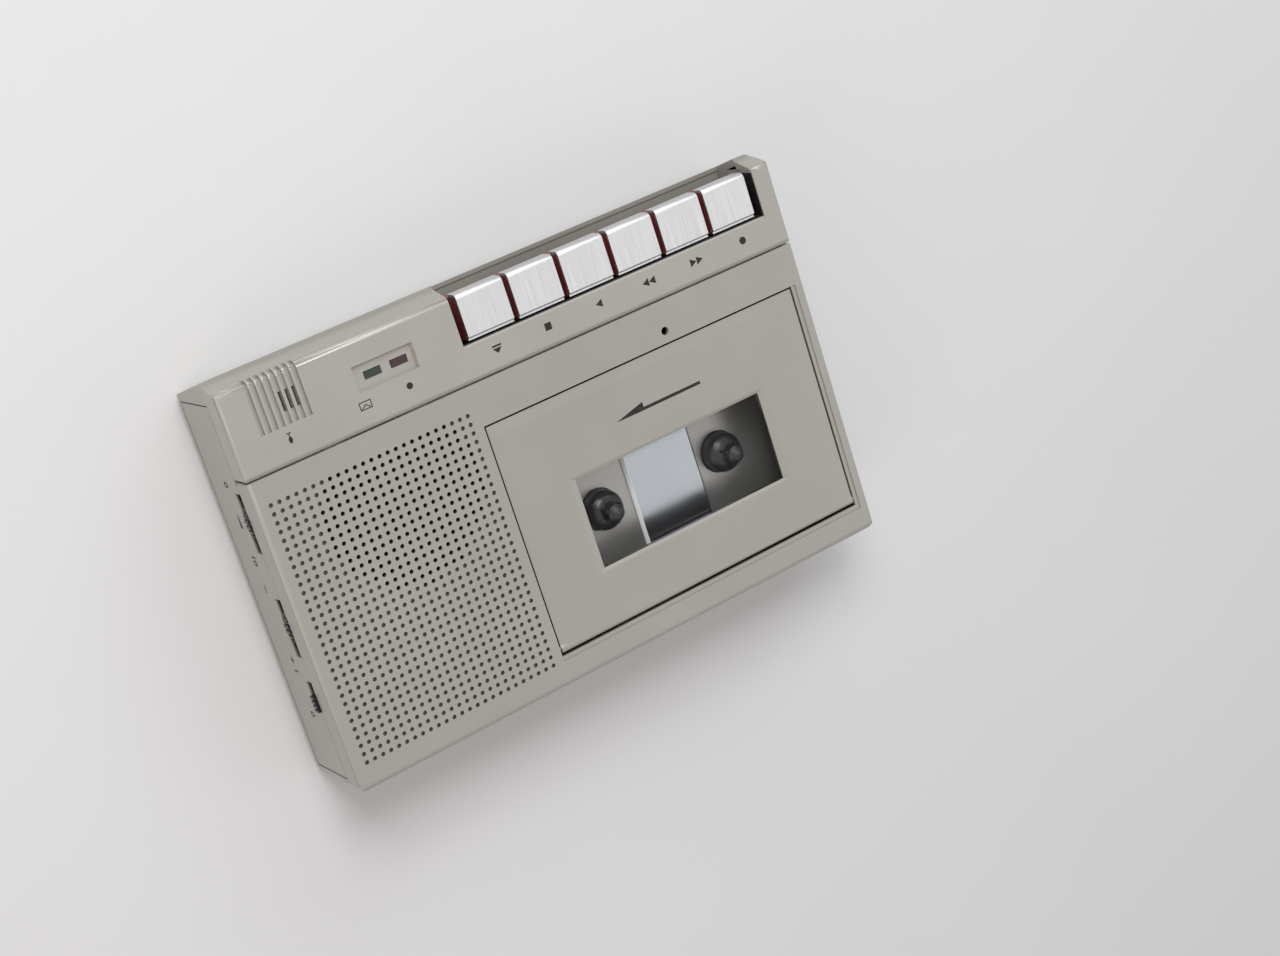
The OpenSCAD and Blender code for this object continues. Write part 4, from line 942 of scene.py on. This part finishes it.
def piece_from(mesh: bmesh.types.BMesh, name: str, smooth: bool = False) -> bpy.types.Object:
    """Turns a built mesh into an object of the scene.

    Args:
        mesh: The mesh, which is freed.
        name: The piece's name.
        smooth: Whether its faces shade smoothly.

    Returns:
        The new object.
    """
    data = bpy.data.meshes.new(name)
    for face in mesh.faces:
        face.smooth = smooth
    mesh.to_mesh(data)
    mesh.free()
    piece = bpy.data.objects.new(name, data)
    bpy.context.scene.collection.objects.link(piece)
    return piece


@dataclass
class Dresser:
    """Gives every node of the frame its finish and softens its edges."""

    frame: dict[str, Any]
    edge: float = 0.16 * MM
    edge_angle: float = math.radians(35)
    softened: tuple[str, ...] = ()

    def dress(self) -> None:
        """Dresses all the nodes by their slots in the record."""
        for part in self.frame["record"]["subparts"]:
            node = self.frame["nodes"][part["node"]]
            OWN_FINISHES.get(part["node"], FINISHES[Slot(part["material_slot"])]).dress(node)
            if part["node"] in self.softened:
                self.soften(node)
            LOG.info("dressed %s", part["node"])

    def soften(self, node: bpy.types.Object) -> None:
        """Adds a small round to a node's sharp edges.

        Args:
            node: The node's object.
        """
        weld = node.modifiers.new("weld", "WELD")
        weld.merge_threshold = 0.001 * MM
        bevel = node.modifiers.new("edges", "BEVEL")
        bevel.width = self.edge
        bevel.segments = 2
        bevel.limit_method = "ANGLE"
        bevel.angle_limit = self.edge_angle
        bevel.harden_normals = True


@dataclass
class KeyRow:
    """The six keys: their printed symbols and their wound springs."""

    centres: tuple[float, ...] = (-72.925, -56.475, -40.025, -23.575, -7.125, 9.325)
    legend_x: tuple[float, ...] = (-73.5, -57.0, -40.5, -23.5, -6.5, 10.0)
    legend_y: float = -37.6
    shaft: Point = (-34.0, 25.0)
    hub: float = 8.0
    gap: float = 0.4
    coil: float = 5.0
    wire: float = 0.5
    coil_radius: float = 2.0
    turns: int = 6
    steps: int = 24
    leg: float = 7.0
    symbols: tuple[Symbol, ...] = (Symbol.RECORD, Symbol.REWIND, Symbol.FORWARD, Symbol.PLAY,
                                   Symbol.STOP, Symbol.EJECT)

    def print_on(self, sheet: PrintSheet) -> None:
        """Prints a symbol behind each key.

        Args:
            sheet: The control panel's printed marks.
        """
        for symbol, across in zip(self.symbols, self.legend_x):
            sheet.stamp(symbol, across, self.legend_y)

    def spring_path(self, centre: float) -> list[Vector]:
        """The wire of one return spring.

        Args:
            centre: The key's middle along X, in mm.

        Returns:
            Points of the wire's middle, in metres.
        """
        start = centre - self.hub / 2 - self.gap - self.coil + self.wire / 2
        shaft_y, shaft_z = self.shaft
        rise = (self.coil - self.wire) / (self.turns * self.steps)
        path = [Vector((start, shaft_y - self.coil_radius, shaft_z - self.leg)) * MM]
        for step in range(self.turns * self.steps + 1):
            turn = math.pi - math.tau * step / self.steps
            path.append(Vector((start + rise * step, shaft_y + self.coil_radius * math.cos(turn),
                                shaft_z + self.coil_radius * math.sin(turn))) * MM)
        return path

    def make_springs(self) -> bpy.types.Object:
        """Builds the six wound springs as one piece in place of their plain sleeves.

        Returns:
            The new piece.
        """
        mesh = bmesh.new()
        for centre in self.centres:
            sweep(mesh, self.spring_path(centre), self.wire / 2 * MM)
        piece = piece_from(mesh, "wound_key_springs", smooth=True)
        FINISHES[Slot.STEEL].dress(piece)
        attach(piece, Body.CASE.value)
        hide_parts("key_springs")
        return piece


def sweep(mesh: bmesh.types.BMesh, path: Sequence[Vector], radius: float, sides: int = 8) -> None:
    """Adds a round wire along a path.

    Args:
        mesh: The mesh to add to.
        path: The wire's middle, in metres.
        radius: The wire's radius, in metres.
        sides: The number of its sides.
    """
    rings = []
    lead = Vector(Axis.X.value)
    for k, point in enumerate(path):
        ahead = (path[min(k + 1, len(path) - 1)] - path[max(k - 1, 0)]).normalized()
        side = (lead - ahead * lead.dot(ahead)).normalized()
        other = ahead.cross(side)
        rings.append([mesh.verts.new(point + (side * math.cos(math.tau * j / sides)
                                              + other * math.sin(math.tau * j / sides)) * radius)
                      for j in range(sides)])
    for first, second in zip(rings, rings[1:]):
        for j in range(sides):
            mesh.faces.new((first[j], first[(j + 1) % sides], second[(j + 1) % sides], second[j]))
    mesh.faces.new(list(reversed(rings[0])))
    mesh.faces.new(rings[-1])


@dataclass
class KeyBay:
    """Thin plates that close the two ends of the shelf under the keys."""

    ends: Point = (-82.85, 19.25)
    deep: Point = (-55.7, -46.7)
    high: Point = (13.6, 24.0)
    outward: float = 0.1
    inward: float = 0.25

    def make_plates(self) -> bpy.types.Object:
        """Builds both plates as one piece.

        Returns:
            The new piece.
        """
        mesh = bmesh.new()
        for end, side in zip(self.ends, (1, -1)):
            across = (end - side * self.outward, end + side * self.inward)
            middle = [sum(span) / 2 * MM for span in (across, self.deep, self.high)]
            size = [abs(span[1] - span[0]) * MM for span in (across, self.deep, self.high)]
            bmesh.ops.create_cube(mesh, size=1.0, matrix=Matrix.LocRotScale(Vector(middle), None, Vector(size)))
        piece = piece_from(mesh, "key_bay_ends")
        FINISHES[Slot.CASE].dress(piece)
        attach(piece, Body.CASE.value)
        return piece


@dataclass
class LampsAndMicrophone:
    """The printed marks beside the two lamps and the microphone."""

    record_x: float = 37.5
    message_x: float = 51.0
    microphone_x: float = 73.5
    legend_y: float = -38.0
    record_size: float = 0.85

    def print_on(self, sheet: PrintSheet) -> None:
        """Prints the three marks.

        Args:
            sheet: The control panel's printed marks.
        """
        sheet.stamp(Symbol.RECORD, self.record_x, self.legend_y, self.record_size)
        sheet.stamp(Symbol.MESSAGE, self.message_x, self.legend_y)
        sheet.stamp(Symbol.MICROPHONE, self.microphone_x, self.legend_y)


@dataclass
class TapeDoor:
    """The door's printed arrow, which shows the way the tape runs."""

    middle: Point = (-31.85, -5.0)

    def make_arrow(self) -> bpy.types.Object:
        """Prints the arrow on the door.

        Returns:
            The new piece.
        """
        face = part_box("cassette_door")[1].z
        sheet = PrintSheet("run_arrow_print", Body.DOOR, Vector((0, 0, face)), Axis.X, Axis.Y, Axis.Z)
        sheet.stamp(Symbol.RUN_ARROW, *self.middle)
        return sheet.make()


@dataclass
class EndControls:
    """The printed marks beside the dials and the switch on the end panel."""

    volume_y: float = -19.4
    tone_y: float = 10.9
    switch_y: float = 31.2
    reach: float = 10.5
    switch_reach: float = 6.5
    digit_gap: float = 1.7
    mark_z: float = 15.5
    mark_size: float = 1.3

    def make_marks(self) -> bpy.types.Object:
        """Prints the scale marks below the slots.

        Returns:
            The new piece.
        """
        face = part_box("end_panel")[1].x
        sheet = PrintSheet("end_scale_print", Body.CASE, Vector((face, 0, 0)), Axis.Y, Axis.Z, Axis.X)
        for symbol, across in ((Symbol.LOUDER, self.volume_y),
                               (Symbol.NOUGHT, self.volume_y - self.reach),
                               (Symbol.ONE, self.volume_y + self.reach),
                               (Symbol.NOUGHT, self.volume_y + self.reach + self.digit_gap),
                               (Symbol.MINUS, self.tone_y - self.reach),
                               (Symbol.PLUS, self.tone_y + self.reach),
                               (Symbol.ONE, self.switch_y - self.switch_reach),
                               (Symbol.NOUGHT, self.switch_y + self.switch_reach)):
            sheet.stamp(symbol, across, self.mark_z, self.mark_size)
        return sheet.make()


@dataclass(frozen=True)
class SoftLight:
    """A soft oblong light aimed at the machine, in metres and watts."""

    name: str
    place: Place
    size: Pair
    power: float
    colour: Colour = (1.0, 1.0, 1.0)

    def make(self) -> None:
        """Adds the light to the scene."""
        data = bpy.data.lights.new(self.name, "AREA")
        data.color = self.colour
        data.shape = "RECTANGLE"
        data.size, data.size_y = self.size
        data.energy = self.power
        light = bpy.data.objects.new(self.name, data)
        light.location = self.place
        light.rotation_euler = Vector(self.place).to_track_quat("Z", "Y").to_euler()
        bpy.context.scene.collection.objects.link(light)


@dataclass
class Studio:
    """The pale floor, the soft lights and the camera."""

    camera_at: Place = (0.2601, -0.1648, 0.5830)
    camera_right: Place = (-0.81025, 0.29664, 0.50547)
    camera_up: Place = (-0.39410, -0.91412, -0.09528)
    camera_back: Place = (0.43379, -0.27640, 0.85757)
    lens: float = 64.38
    sensor: float = 36.0
    clip: Pair = (0.01, 20.0)
    floor_half: float = 3.0
    paper: Colour = (0.76, 0.76, 0.765)
    sky: float = 0.47
    lights: tuple[SoftLight, ...] = (
        SoftLight("key_light", (0.2, -0.7, 0.85), (0.5, 0.5), 6.2),
        SoftLight("edge_light", (-0.5, -0.93, 0.57), (1.0, 0.42), 2.6, (0.93, 0.97, 1.0)),
        SoftLight("fill_light", (-0.95, 0.45, 0.85), (0.7, 0.7), 0.5),
        SoftLight("end_light", (0.95, 0.31, 0.5), (0.5, 0.5), 1.6, (1.0, 0.78, 0.67)),
    )

    def make_camera(self) -> bpy.types.Object:
        """Sets up the camera at the photograph's view.

        Returns:
            The camera.
        """
        data = bpy.data.cameras.new("camera")
        data.lens = self.lens
        data.sensor_width = self.sensor
        data.clip_start, data.clip_end = self.clip
        camera = bpy.data.objects.new("camera", data)
        turn = Matrix((self.camera_right, self.camera_up, self.camera_back)).transposed()
        camera.matrix_world = Matrix.Translation(self.camera_at) @ turn.to_4x4()
        bpy.context.scene.collection.objects.link(camera)
        bpy.context.scene.camera = camera
        return camera

    def make_floor(self) -> bpy.types.Object:
        """Lays the pale sheet under the feet.

        Returns:
            The floor.
        """
        mesh = bmesh.new()
        half = self.floor_half
        mesh.faces.new([mesh.verts.new((x, y, 0.0)) for x, y in
                        ((-half, -half), (half, -half), (half, half), (-half, half))])
        floor = piece_from(mesh, "floor")
        StudioPaper("studio_paper", self.paper).dress(floor)
        return floor

    def make_sky(self) -> None:
        """Makes an even white room: full white to the camera and in mirrors, softer as a light."""
        world = bpy.data.worlds.new("studio")
        bpy.context.scene.world = world
        world.use_nodes = True
        tree = world.node_tree
        ground = tree.nodes["Background"]
        ground.inputs["Color"].default_value = (1.0, 1.0, 1.0, 1.0)
        path = tree.nodes.new("ShaderNodeLightPath")
        seen = path.outputs["Is Camera Ray"]
        for name in ("Is Glossy Ray", "Is Transmission Ray"):
            either = tree.nodes.new("ShaderNodeMath")
            either.operation = "MAXIMUM"
            tree.links.new(seen, either.inputs[0])
            tree.links.new(path.outputs[name], either.inputs[1])
            seen = either.outputs["Value"]
        level = tree.nodes.new("ShaderNodeMapRange")
        level.inputs["To Min"].default_value = self.sky
        level.inputs["To Max"].default_value = 1.0
        tree.links.new(seen, level.inputs["Value"])
        tree.links.new(level.outputs["Result"], ground.inputs["Strength"])

    def make(self) -> None:
        """Builds the whole studio."""
        self.make_camera()
        self.make_floor()
        self.make_sky()
        for light in self.lights:
            light.make()
        bpy.context.scene.view_settings.view_transform = "Standard"


def main() -> None:
    """Builds the studio, dresses the frame and adds the new pieces."""
    logging.basicConfig(level=logging.INFO, format="%(name)s: %(message)s")
    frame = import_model()
    Studio().make()
    Dresser(frame, softened=SOFTENED).dress()
    keys = KeyRow()
    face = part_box("control_panel")[1].z
    legends = PrintSheet("panel_print", Body.CASE, Vector((0, 0, face)), Axis.X, Axis.Y, Axis.Z)
    keys.print_on(legends)
    LampsAndMicrophone().print_on(legends)
    for piece in (legends.make(), keys.make_springs(), KeyBay().make_plates(), TapeDoor().make_arrow(),
                  EndControls().make_marks()):
        LOG.info("made %s", piece.name)


if __name__ == "__main__":
    main()
